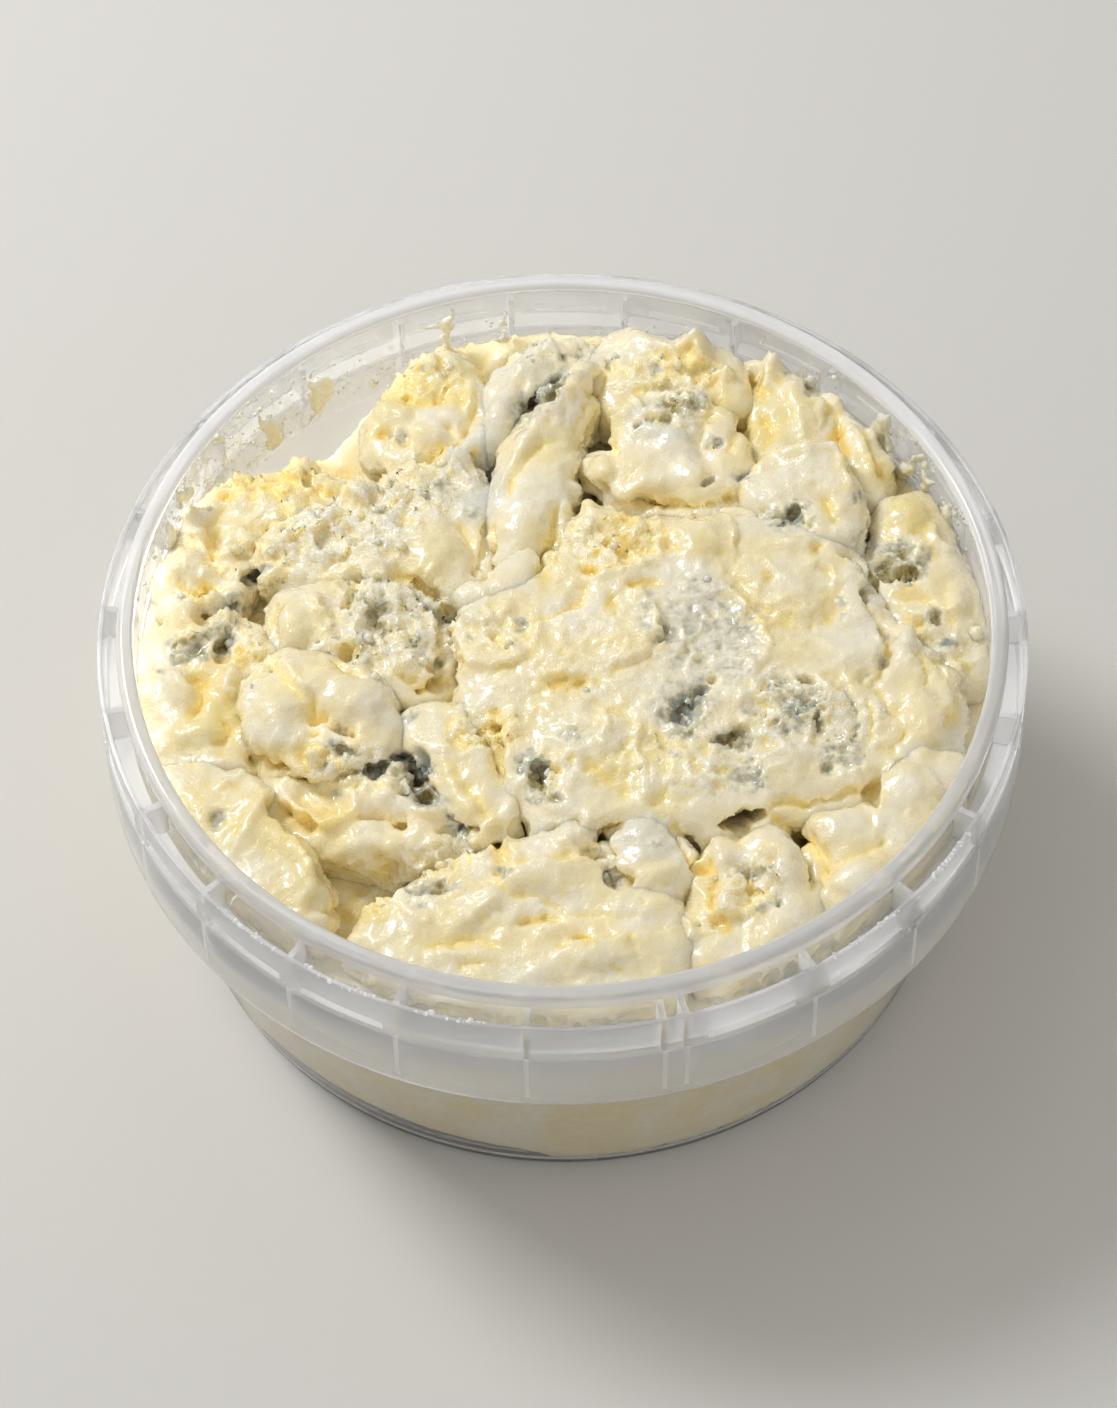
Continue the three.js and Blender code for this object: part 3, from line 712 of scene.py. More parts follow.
# %% Strokes at the back
BACK = {ridge: [
    (0.8, 0.8, 8, 33, 9.6, 35.4, 11.2, 36.2),
    (1.6, 1.3, 5, 43.6, 3, 41, 0.4, 38, -1.6, 34.5, -3.4, 31, -6, 27.5), (0.8, 0.7, -5, 28, -7, 24, -8.3, 20),
    (1.3, 1.1, -7.4, 45.5, -4, 47.6, 0, 48, 3.5, 47.2, 6.6, 46.8, 9, 48.4, 11, 46.4, 14, 45.2, 17, 44.8),
    (1.2, 0.9, -10, 41.6, -7.6, 44, -4.6, 45.4), (1.3, 1.1, -6, 40.4, -2, 44.6, 1.2, 45.2),
    (1, 1.3, 28.6, 44.8, 28.2, 41, 27.4, 37.4), (0.9, 0.6, 30, 40, 31, 36, 32, 31),
    (0.7, 0.7, 39, 31, 40, 27, 41.2, 23.4), (0.8, 0.7, 43, 27, 44.4, 24.4),
], crease: [
    (0.9, 3, 7.5, 19.4, 10, 19, 13, 19.4, 16.5, 18.8, 21, 20),
    (0.35, 1, 10.6, 32.6, 12.4, 33.4, 14.2, 33.5, 15.4, 35), (0.4, 0.7, 11.4, 36, 11.8, 34.6),
    (1.4, 1.2, 20.6, 36, 19, 32, 18.6, 29, 20.5, 26), (1, 1, 7, 31.5, 5.6, 28, 5.2, 24, 4, 21),
    (1.3, 1.8, 0.6, 41, -1.4, 38.5, -3.2, 35.8, -5, 32.2), (0.8, 1, 6.5, 42, 5, 38, 3.4, 34, 2.6, 31),
    (0.5, 0.7, -1, 29.5, -4.4, 26.8, -5.8, 23.4, -6.4, 20), (0.8, 1.8, -9.3, 17, -9.7, 12, -10.4, 8),
    (0.9, 2, -0.2, 20, -0.6, 15, -1.6, 11.6, -2.4, 8.5), (0.7, 0.9, -8.6, 43, -5, 44, -3, 46),
    (0.7, 0.9, 26, 41, 26.4, 38.6, 27, 36.4), (1.2, 1, 26.6, 34, 27.2, 31.4, 25.4, 28),
    (0.9, 0.9, 24.6, 33, 23, 30, 21.6, 27.5), (1, 2, 36.4, 33.5, 36.6, 30.5, 37, 27, 37.6, 24),
    (0.6, 1, 40.6, 27, 42, 24.4, 43.4, 22.4), (1.2, 1.3, -21, 38.5, -17, 37.4, -14, 38.6),
    (0.9, 1.3, -15.6, 33.5, -13, 31.5, -12.2, 34), (0.8, 1.8, -17.5, 27.2, -14.6, 29.4, -12.4, 31),
    (0.7, 1.4, -10.6, 39.4, -11.2, 35, -12.4, 31.4), (0.5, 0.9, -4.2, 40.4, -5, 37, -6.6, 33.4),
], lap: [
    (0.8, 1.1, 34.2, 32.5, 34.4, 35.8, 32.6, 36.2, 31.8, 39.5),
], pit: [
    (9.6, 19.4, 1.8, 0.8, 2.5), (12.4, 19.1, 1.3, 0.7, 2), (22.4, 20.2, 1.1, 0.9, 2.2),
    (10.4, 32.1, 0.5, 0.5, 1.1), (15.2, 35.6, 1.6, 1.1, 1.1), (20.4, 29.2, 0.9, 0.8, 1.3),
    (19.2, 23, 1.2, 0.8, 0.9), (23.8, 23.6, 1.4, 0.9, 1.1), (5.4, 28.6, 1.6, 1.3, 1),
    (-2.4, 37.2, 1.6, 3.2, 1.4, -35), (7, 42.8, 0.35, 0.8, 1), (-22.6, 32, 1, 1, 1.3),
    (-20.5, 31.4, 1, 1.4, 1.3),
], dome: [
    (3.2, 19.6, 2.2, 1.3, 0.7), (13, 33, 5.5, 4.5, 0.9), (16.8, 35.9, 0.9, 0.8, 0.7),
    (15.2, 37, 0.9, 0.8, 0.7), (17, 24.5, 3, 2.4, 0.7), (12.5, 23, 4, 2, 0.6), (15.5, 29, 3, 2.6, 0.6),
    (4.6, 25, 2.4, 4.2, 2.4), (3, 22, 1.8, 2.2, 1.6), (-4.5, 18, 3.6, 7, 0.9, -10), (2.6, 26, 2, 2.4, 0.7),
    (37, 36.6, 2.6, 2.4, 1.7), (42.3, 31.3, 1.5, 1.5, 1.5), (-15, 42, 4.5, 3.5, 1.3),
    (-21.5, 35.5, 3, 2.4, 0.8), (-11.4, 37.5, 1.6, 4, 1.1), (-17, 31.5, 2.5, 2, 0.6),
    (-7.6, 34.6, 2.6, 6, 1.3, -25),
], spike: [
    (18.4, 45.2, 3.2, 3.2, 4.2), (22.3, 41, 1.6, 1.6, 2.2), (9, 47.8, 1.8, 1.6, 1.6),
    (14.6, 44.4, 1.4, 1.2, 1.2), (28.2, 43.4, 4.2, 4.6, 6), (-25.4, 37.8, 1, 0.9, 2.2),
    (-26, 34.6, 0.9, 0.8, 1.6), (-22.4, 41.2, 0.9, 0.9, 2), (-24.4, 38.8, 1.6, 1.4, 1.6),
    (-19.4, 43.8, 2, 2, 1.8), (-15.2, 46, 2.2, 2.4, 2.2), (-11.6, 44.4, 1.6, 1.6, 1.4),
]}
print("strokes at the back:", count(BACK))

# %% [markdown]
# ### The left side
# The left is the most broken part. Dry grainy lumps are streaked from the pull of the scoop, a glossy lobe
# curls round on itself, and between them open the deepest blue pockets. A thin leaf of cheese bridges to the
# slab.

# %% Strokes on the left
LEFT = {ridge: [
    (0.6, 0.6, -31.6, -10.8, -30.4, -9.8), (0.8, 0.4, -37.2, -5, -39.6, -9, -40.4, -13),
    (0.8, 0.9, -20.8, 6.4, -21.4, 2.5, -20.4, -2), (0.9, 0.9, -25.6, 4.6, -26, 0.5, -25, -4),
    (0.35, 0.7, -31.6, 4.8, -30.4, 3.2, -29.4, 2.2), (0.9, 0.9, -38, 12.5, -33, 15.5, -28.5, 19.5),
    (0.9, 1, -14, 29.6, -13, 26, -11.4, 23.4),
    (1.1, 1.7, -48, 1.6, -47.2, 4.6, -45.2, 5.9, -43.2, 4.6, -42.4, 2.4),
    (0.7, 1.2, -49.4, -1.2, -47, -1, -45, -0.2), (0.9, 1.1, -41.8, -4.4, -42.6, -7.6, -41.4, -10),
    (1, 1, -34.2, 26.6, -32.6, 28.4, -29.4, 30), (0.8, 0.9, -47, 25, -47.4, 21, -48, 17),
], crease: [
    (0.6, 1.7, -31.4, -10.9, -31.6, -13, -29.6, -13.4, -28.4, -14.6, -26.4, -15.8),
    (0.6, 1.5, -29, -5.2, -27, -6.6, -25, -8.4), (0.6, 1.4, -21.4, -6.6, -19.8, -7.4, -18, -7.6),
    (0.8, 2.4, -38.6, -18.2, -36.6, -20.2, -33.8, -21.2), (1.2, 2, -18.8, -8.4, -16, -9, -13.8, -8),
    (0.9, 1.6, -22.8, 5.4, -23.4, 2, -22.6, -1), (1, 1.5, -25.6, 8.5, -27, 5.5, -28.2, 3.5),
    (0.6, 1, -24.6, -1, -23.4, -4.5), (0.8, 1.3, -19.4, 4.5, -18.4, 0.4, -17.6, -3),
    (0.6, 1.1, -27.3, -1.6, -27.4, -4.4, -25.6, -5), (0.6, 1.8, -36.6, 4, -37, 1, -36, -1.6),
    (0.8, 2, -17.6, 7, -15.4, 4.4, -13.4, 2.2), (0.9, 2.4, -15, 2, -14.6, -3, -14.8, -7.5),
    (0.5, 1, -31.5, 14.5, -28.6, 17, -26, 20.5), (0.5, 0.9, -35, 14, -32, 17, -30, 20),
    (0.5, 1, -25.6, 15, -27.6, 12.4, -29.5, 10.8), (0.5, 0.9, -24.6, 16.4, -22, 20, -19.5, 22),
    (0.4, 0.8, -28.6, 14.6, -26, 17.6, -23.6, 20.6), (0.7, 1.3, -13, 17.4, -11.4, 13, -10.6, 9),
    (0.5, 1.6, -11.2, 28.2, -10.4, 25.6, -9.9, 24), (1.2, 1.9, -20.4, 8.4, -18, 6.4, -14.5, 4.8),
    (0.5, 0.8, -20.6, 17, -17.6, 21, -15.6, 25), (0.8, 1.7, -50, 8, -47.6, 6.6, -44.6, 6.4),
    (1, 1.5, -44.4, 19, -44.6, 13, -43, 9.5), (1, 1.8, -46, -5.4, -45.4, -9, -46.6, -12),
    (0.9, 1, -42.8, -12.8, -42, -15.8, -44, -17), (1, 1.3, -33, 25, -31, 22.6, -28.6, 21.6),
    (0.9, 1, -38, 24.6, -36, 21, -34.6, 18.4),
], lap: [
    (1.5, 1.7, -36.6, -5, -34.6, -6, -33.8, -8.6, -31.6, -10.9),
], pit: [
    (-30.6, -13, 1.2, 0.6, 1.8), (-31.2, -15.5, 0.8, 0.4, 1.4), (-27.6, -15.3, 1.5, 0.6, 1.7, -25),
    (-15.6, -8.6, 2.2, 1, 2.8), (-15.8, -5.6, 0.6, 0.9, 1.7, 30), (-27, -3, 1, 1.2, 1.1),
    (-24.4, 25, 0.8, 0.6, 1), (-46.2, 2.2, 1, 1, 1.6), (-43, -1.6, 0.9, 2, 2.4, -25),
    (-42.4, 4.6, 1.7, 1.3, 3.4, 30), (-39.6, 8.8, 1.8, 1.2, 2.8), (-45, 7.2, 1.6, 1.1, 2.4),
    (-36.1, 7.9, 0.5, 0.3, 0.9), (-43.6, 21.8, 1.1, 0.8, 1.8),
], dome: [
    (-36.2, -13, 4.6, 7, 1.7), (-26.5, -9.5, 6.5, 5, 1.5, -35), (-34, 0.4, 2.8, 4.8, 1.7),
    (-31, 4, 2, 2.5, 0.8), (-16.5, 13, 4.5, 6, 1), (-26.2, 22.4, 2.6, 2.6, 1.7), (-20, 25.6, 3, 2, 0.7),
    (-50.2, 3.2, 2, 2.2, 1.4), (-43.6, 1, 1.3, 1.3, 1.4), (-48.6, -3.4, 1, 1.4, 0.7),
    (-37.2, 9.4, 1.9, 1.6, 1.6), (-47.5, 11, 3, 3.4, 1.2), (-41.5, 15, 3.4, 3, 1.1),
    (-46.6, 17.4, 2.4, 3, 0.9), (-48.3, -8, 2.6, 3.4, 1.3), (-39.4, -3, 1.6, 2, 0.8),
    (-46.2, -15.4, 4, 2.4, 0.9),
], spike: [
    (-46.4, 25.6, 1.3, 1.5, 3.6), (-39.6, 28.4, 1, 1.2, 2.2), (-37.2, 27.4, 0.9, 0.9, 1.6),
    (-27.6, 29.6, 1, 1.2, 2), (-32, 28.2, 0.9, 0.9, 1.6), (-48.4, 20.6, 1, 1, 1.8),
    (-29.2, 29, 2.4, 2.4, 4.6), (-42.4, 25.6, 1.8, 1.6, 2.6), (-34.4, 26.2, 1.8, 1.6, 1.5),
]}
print("strokes on the left:", count(LEFT))

# %% [markdown]
# ### The front and the right side
# Along the front rim the cheese was pressed smooth and drawn into long swirls. A round lump and a few smaller
# ones sit between the swirls and the slab, with dark gaps between them. A smooth tongue runs down beside the
# slab.

# %% Strokes at the front and on the right
FRONT = {ridge: [
    (0.7, 1.1, -35, -23.4, -34, -26, -31, -28.4, -28, -28.2, -26.2, -26.8, -25.8, -24.6),
    (0.4, 0.5, -31, -23.8, -29, -26.4), (1, 0.7, -15.8, -17, -13.2, -24, -11.4, -29),
    (0.7, 0.7, -44.6, -19.6, -41, -19.8, -38.6, -20.8), (0.8, 0.8, -43.6, -24.6, -40.4, -22, -38.6, -21),
    (0.9, 0.8, -37.2, -25.6, -39, -30, -40.4, -33.6), (0.5, 0.6, -34.6, -32.6, -32.6, -34.4, -31.4, -37),
    (0.8, 0.7, -27, -32.5, -22, -32, -21, -34), (1, 1, -13.6, -44.2, -11, -42.4, -8.8, -40.6),
    (0.5, 0.7, -7.6, -31, -6.6, -33, -6.8, -35), (1, 1, -24.8, -43, -24, -40, -21, -37.6, -16, -34.6),
    (1.5, 1.2, 4.4, -27.6, 2.6, -29.4, 0.6, -31.4, -1, -33),
    (0.9, 0.7, 38.8, -21.8, 42, -20.8, 46, -20.5, 49, -20),
], crease: [
    (0.8, 2.6, -25.8, -27.4, -22.8, -28.3, -19.4, -29.6), (0.6, 2.2, -16.4, -30, -13.6, -30.4, -11, -31),
    (0.6, 0.8, -14.6, -19.6, -11.6, -25, -9.4, -28.6), (0.7, 1.6, -9.2, -15, -8.2, -19.4, -7.6, -23),
    (0.9, 2.4, -36.2, -26, -34.5, -28.4, -31, -29.6), (0.9, 1.4, -24.6, -34, -22, -35.6, -21.8, -38.5),
    (0.6, 1.2, -6.2, -44.2, -4.2, -43.4, -1.6, -43.1, 0.6, -44.3),
    (1.6, 0.9, -10, -37.5, -6, -39.5, -2, -41, 4, -43, 9, -43.8), (1.2, 0.9, -17, -46.6, -12, -45.9, -8, -47),
    (1, 0.7, -14, -49.6, -10, -49.6), (0.6, 1.8, 5.2, -34.5, 5, -31.4, 6.6, -28.8),
    (0.7, 1.8, 13, -29.6, 14.8, -32.8, 15.6, -35), (0.6, 1, 5, -30, 4, -32, 2.4, -33.4),
    (0.8, 1.9, 25.2, -28.6, 27.4, -31.6, 29.4, -33.8, 31, -36, 30.6, -40), (0.8, 2.4, 21.4, -31.6, 23.4, -29),
    (0.7, 1.3, 20.3, -36, 22, -37.6, 22.6, -40), (0.8, 1.9, 17.6, -34, 17.8, -38, 17.4, -42, 19, -45),
    (1, 1, 31, -37.8, 33.5, -35.2, 37.5, -33.4, 40, -31), (0.8, 0.6, 45.6, -27.2, 47.6, -25.2),
    (1, 1.3, 29.4, -31.4, 31.4, -34, 31, -36.6),
], lap: [
    
    (1.4, 1.3, -32, -42, -30.8, -38.5, -31.8, -35, -33.8, -32, -36.2, -29, -36.8, -26.5, -36, -24.5, -38,
     -21), (0.8, 0.8, -26.5, -44.4, -29, -42.8, -32.5, -42),
    (1.3, 1.1, 4.2, -36.2, 2, -35, -1, -35.6, -3.8, -35.2, -6, -36.4, -8.4, -38, -12.6, -40.4),
    (1.2, 1.1, 8.2, -46, 5, -46.4, 2, -46.4, 0.4, -47.4, -1.5, -48.6),
    (1.2, 0.9, 15.3, -49, 15.2, -45, 13, -41, 10.6, -38.6), (1, 1.2, 40.6, -20.8, 38.8, -25, 38.1, -28.8),
], pit: [
    (-27.8, -18.4, 1.6, 0.9, 1, -30), (-23.3, -21.3, 1.8, 0.8, 2), (-30.6, -25.2, 4.2, 2.2, 1.6, -15),
    (-20.8, -28.8, 1.3, 0.7, 2.2), (-18, -21.4, 1.6, 3, 1.7), (-17, -25.4, 1.6, 1.4, 2.3),
    (-20, -19.4, 1.2, 0.5, 1.8), (-19.6, -24.6, 1, 0.8, 1.6), (-35.2, -27.3, 1.2, 1, 2.2),
    (-42.9, -28.3, 0.9, 1.3, 0.9), (1.6, -46.3, 0.9, 0.4, 1), (7.4, -46.1, 0.6, 0.35, 0.6),
    (-16.6, -38.8, 2.8, 1.3, 1.8, 5), (-8.2, -36, 1.3, 0.6, 1.4), (-8, -33.6, 1.2, 1.6, 1.2),
    (16.2, -36.6, 0.9, 0.8, 2), (15.4, -35, 0.4, 0.6, 1.6), (4, -33.8, 1.3, 0.9, 3.2),
    (6, -38, 1.3, 1.6, 3.6), (5.1, -35.8, 0.6, 1.2, 2.4), (9.3, -41.2, 0.35, 0.5, 0.8),
    (21.8, -29.6, 2.6, 1.1, 14, 8), (22.6, -37.3, 1.4, 0.7, 1.1), (25.6, -41.4, 0.8, 0.7, 1.4),
    (38.2, -26.2, 0.9, 2.2, 3.4),
], dome: [
    (-33.6, -20.6, 1.3, 1.1, 1), (-31, -19, 1.4, 1.2, 1), (-29.5, -21.4, 1.3, 1.2, 1),
    (-27.2, -19.8, 1.2, 1.1, 1), (-26, -22.3, 1.4, 1.3, 1.1), (-24, -23.6, 1.2, 1.2, 1),
    (-21.5, -23.4, 1.3, 1.1, 1), (-20.9, -21, 1.1, 1.3, 1), (-22.4, -25.2, 1.6, 1, 0.9),
    (-16.5, -27.6, 2.6, 1.3, 1), (-8, -28.8, 1.5, 1, 0.7), (-28.5, -39.5, 3, 2.5, 0.7),
    (-27, -33.6, 3.5, 2, 0.7), (-1.5, -45, 2.6, 1.4, 0.7), (-5, -38.3, 6, 2, 0.6, -8),
    (8, -42.6, 5, 2.5, 0.6), (-14.5, -47.8, 3, 1, 0.6), (3, -49, 5, 2.2, 0.7),
    (-18.4, -42.6, 2.4, 1.6, 0.7, -20), (-17.4, -39.5, 1.6, 0.9, 0.8), (10, -32, 4.4, 4.2, 0.9),
    (11, -37.2, 3, 1.6, 0.6), (25.5, -34.5, 4, 6, 1.3, 20), (19, -33.6, 3, 3, 0.9), (19, -41.5, 3, 3, 0.8),
    (24.6, -38.6, 1, 0.9, 0.7), (22.8, -42, 1.3, 1, 0.7), (36, -38, 5, 3.5, 0.9), (43.5, -25, 4, 4, 0.9),
    (33.5, -30.5, 4, 3, 0.7),
]}
RIGHT = {ridge: [
    (0.6, 0.8, 38.8, 10.2, 39.2, 7), (0.6, 0.7, 47.8, 15, 47.6, 12.8, 49.8, 11.2),
], crease: [
    (0.8, 1, 41.2, 2.5, 44, 4.2, 47, 3.6), (0.9, 1.3, 38.4, 14.5, 38.2, 12, 36.6, 10),
    (0.8, 1, 46.8, 11.6, 47.6, 9),
], pit: [
    (43.6, 7.8, 2.3, 1.1, 2.8), (41.2, 9.6, 1, 0.6, 1.3), (44.2, 7.4, 0.7, 0.9, 1.6),
    (44.9, -2.9, 0.4, 0.4, 0.9), (46.8, 1, 0.75, 1, 1.1), (48.9, -3.3, 1, 0.9, 0.6), (37.8, -8, 1, 1.6, 1),
], dome: [
    (45.4, 1.2, 1.6, 1.3, 1.1), (46.8, -1.5, 2, 1.6, 0.7), (43.4, -2.4, 1.7, 2.4, 1.1),
    (42.4, 3.4, 2, 1, 0.7), (50.4, 3, 1.6, 4, 0.9), (49.5, -8, 2, 3, 0.9), (44.6, 17.4, 2.6, 3.4, 0.7),
], spike: [
    (45.9, 11.8, 1.2, 1.2, 1),
]}
STROKES = [
    (make, row)
    for region in (SLAB, WEDGE, BACK, LEFT, FRONT, RIGHT) for make, rows in region.items() for row in rows
]
print("strokes in all:", len(STROKES))

# %% [markdown]
# ## Stains and texture
# Four things vary over this cheese: the blue-green mould in its pockets, the deep yellow of thin or wet
# places, the dry grain, and the paler grey-white paste. The yellow is partly the paste's own tone and partly
# painted shade, for many of its ovals lie on pits and creases. Each is painted in the same plan as a set of
# ovals, and stored on the points of the mesh. The shader reads them later, and the grain also decides how
# rough the surface is worked. A fifth set marks the silky places, which the spoon pressed smooth. An oval is
# x, y, half width, half length, strength and, where it is turned, an angle.

# %% Where the stains lie
MOULD = [
    (18.5, -1, 6, 7.5, 0.4), (15, -13, 2.6, 3, 0.95), (17, -10.8, 1, 1.6, 1), (15.3, -16.3, 1.6, 1, 0.6),
    (20.8, -17, 2, 1.6, 0.95), (29.3, -12.5, 2.4, 3.4, 0.7), (31.2, -15, 0.7, 1.8, 1),
    (27, -15.2, 1.2, 1.2, 0.7), (26.5, -9.8, 0.8, 0.9, 0.6), (22.5, -23.6, 1.8, 1.8, 0.7, -45),
    (33.8, -19.6, 1.6, 1.8, 0.7, -30), (35.6, -20.8, 1.2, 0.6, 0.55), (35.8, -14, 0.7, 4.5, 0.4, 5),
    (12.6, -0.8, 0.8, 1.8, 0.65), (11, 1.5, 1.5, 3.5, 0.25), (-5.2, 0.8, 0.9, 0.8, 0.65),
    (-11.8, -1.2, 1, 0.7, 0.45), (0.6, -16.4, 1.2, 1.2, 0.5), (-3.6, -22.6, 1.5, 3, 1, 15),
    (-2.4, -25.5, 1.8, 0.9, 0.6, 20), (22, -0.6, 0.7, 0.5, 0.55), (35.4, 3.5, 0.6, 0.8, 0.6),
    (35.4, 0.9, 0.5, 0.7, 0.55), (32.4, -22, 0.8, 1, 0.55), (23, -13, 1.2, 1.2, 0.4),
    (13.6, -19, 0.8, 1, 0.5), (29.4, 17.2, 2.6, 1.8, 0.75), (29.4, 17.6, 0.9, 0.8, 1),
    (28.2, 15.4, 0.9, 0.6, 0.8), (38.4, 20, 0.9, 0.9, 0.9), (15.4, 35.6, 2.6, 1.6, 0.75),
    (12.8, 33.4, 1.8, 0.4, 0.8, 15), (10.4, 32.2, 0.5, 0.5, 0.8), (20.4, 29.3, 1.1, 0.9, 0.65),
    (19.2, 23, 1.3, 0.8, 0.5), (23.9, 23.7, 1.4, 0.8, 0.55), (18.3, 36.6, 1.2, 1, 0.45),
    (12.8, 41.8, 0.9, 0.8, 0.55), (-2.5, 37.2, 1.7, 4.4, 1, -35), (0.3, 44.4, 0.6, 0.9, 1),
    (1.5, 44.8, 1.4, 0.4, 0.55), (6.6, 42.8, 0.4, 0.8, 0.9), (0.8, 40.6, 1.6, 0.9, 0.6),
    (5.2, 29.4, 1.6, 0.9, 0.7, -30), (-20.6, 31.4, 1, 1.2, 0.5), (-10.3, 24.8, 0.6, 0.6, 0.7),
    (-17.6, 42.3, 0.5, 0.6, 0.4), (-11.5, 18.5, 1.2, 0.8, 0.4), (-16, 22, 2.4, 1.2, 0.3, 20),
    (-43.6, 1, 1.5, 1.5, 0.8), (-47, -1, 2.6, 0.9, 0.9, 10), (-46.5, -3, 2.8, 1, 0.8, 20),
    (-49.2, -3, 0.7, 1.4, 0.7, 10), (-43, -1.6, 0.9, 1.8, 0.95, -25), (-51, -5.7, 0.6, 0.6, 0.8),
    (-38.2, 10.6, 1, 0.7, 0.8), (-40, 8.8, 2, 1.4, 0.7), (-42.5, 4.8, 1.8, 1.4, 0.9, 30),
    (-36.1, 7.9, 0.6, 0.4, 0.8), (-40.6, 4.2, 0.7, 0.7, 0.5), (-47.2, -18.2, 0.8, 0.4, 0.55),
    (-23, 3, 1.2, 3, 0.5), (-25, 5.4, 2, 2.5, 0.3), (-18, -3, 1.5, 2, 0.3), (-28.5, -1.4, 1, 0.7, 0.35),
    (-15.7, -5.6, 0.6, 0.9, 0.8, 30), (-27.8, -18.3, 1.9, 1, 0.8, -30), (-27.4, -15.2, 1.6, 0.5, 0.7, -25),
    (-23.3, -21.3, 2, 1.1, 0.85), (-19.9, -19.5, 1.4, 0.5, 1), (-18.3, -22.5, 2, 3.4, 1),
    (-17, -25.5, 1.8, 1.5, 1), (-19, -13.2, 1.2, 0.8, 0.55, 30), (-14.3, -28.4, 0.9, 0.5, 0.7),
    (-13, -30.2, 2.2, 0.6, 0.8, -10), (-28.2, -24.6, 1.2, 0.7, 0.3), (-42.9, -28.3, 0.9, 1.4, 0.55, -20),
    (-17.4, -39.3, 2.1, 1.3, 0.8), (-14.6, -38.6, 1.7, 1.1, 0.65), (-8, -36.1, 1.2, 0.5, 0.75),
    (4, -33.8, 1.2, 0.7, 0.7), (5.8, -37.6, 1.2, 1.5, 0.6), (10.6, -32.7, 0.8, 0.6, 0.35),
    # The oval at 21.8, -29.4 paints the darkest mould tones into the deep gap before the slab, as painted
    # shade.
    (22.6, -37.4, 1.5, 0.8, 0.5), (21.8, -29.4, 2.2, 1, 1, 8), (25, -36.6, 0.8, 0.6, 0.35),
    (25.4, -41.4, 1, 0.8, 0.65), (24, -42.4, 0.8, 0.5, 0.5), (-13.8, -15.8, 0.9, 0.8, 0.45),
    (43.4, 8, 2.8, 1.7, 1), (44.2, 10.6, 2.6, 1.8, 0.7), (41.4, 11.6, 1.6, 0.8, 0.55),
    (46.4, 8.6, 1.3, 1, 0.5), (38.4, 13, 1.4, 2.6, 0.55), (38.4, 5.2, 0.7, 3, 0.7, 5),
    (36.8, 9.6, 0.7, 0.6, 0.6), (46.7, 1, 0.8, 1.1, 1), (48.7, -3.4, 1.2, 1, 0.65),
    (41.4, -2.2, 0.7, 0.6, 0.45), (39.9, -5.6, 0.5, 0.8, 0.8), (38.2, -8.4, 0.9, 0.9, 0.35),
    (39.8, -2, 0.3, 1.5, 0.6), (33.8, 38, 1.4, 1.6, 0.4), (36.4, 31.8, 1, 0.6, 0.3),
    (43.6, 17, 0.8, 0.8, 0.35), (30.6, 41, 0.5, 0.4, 0.8),
]
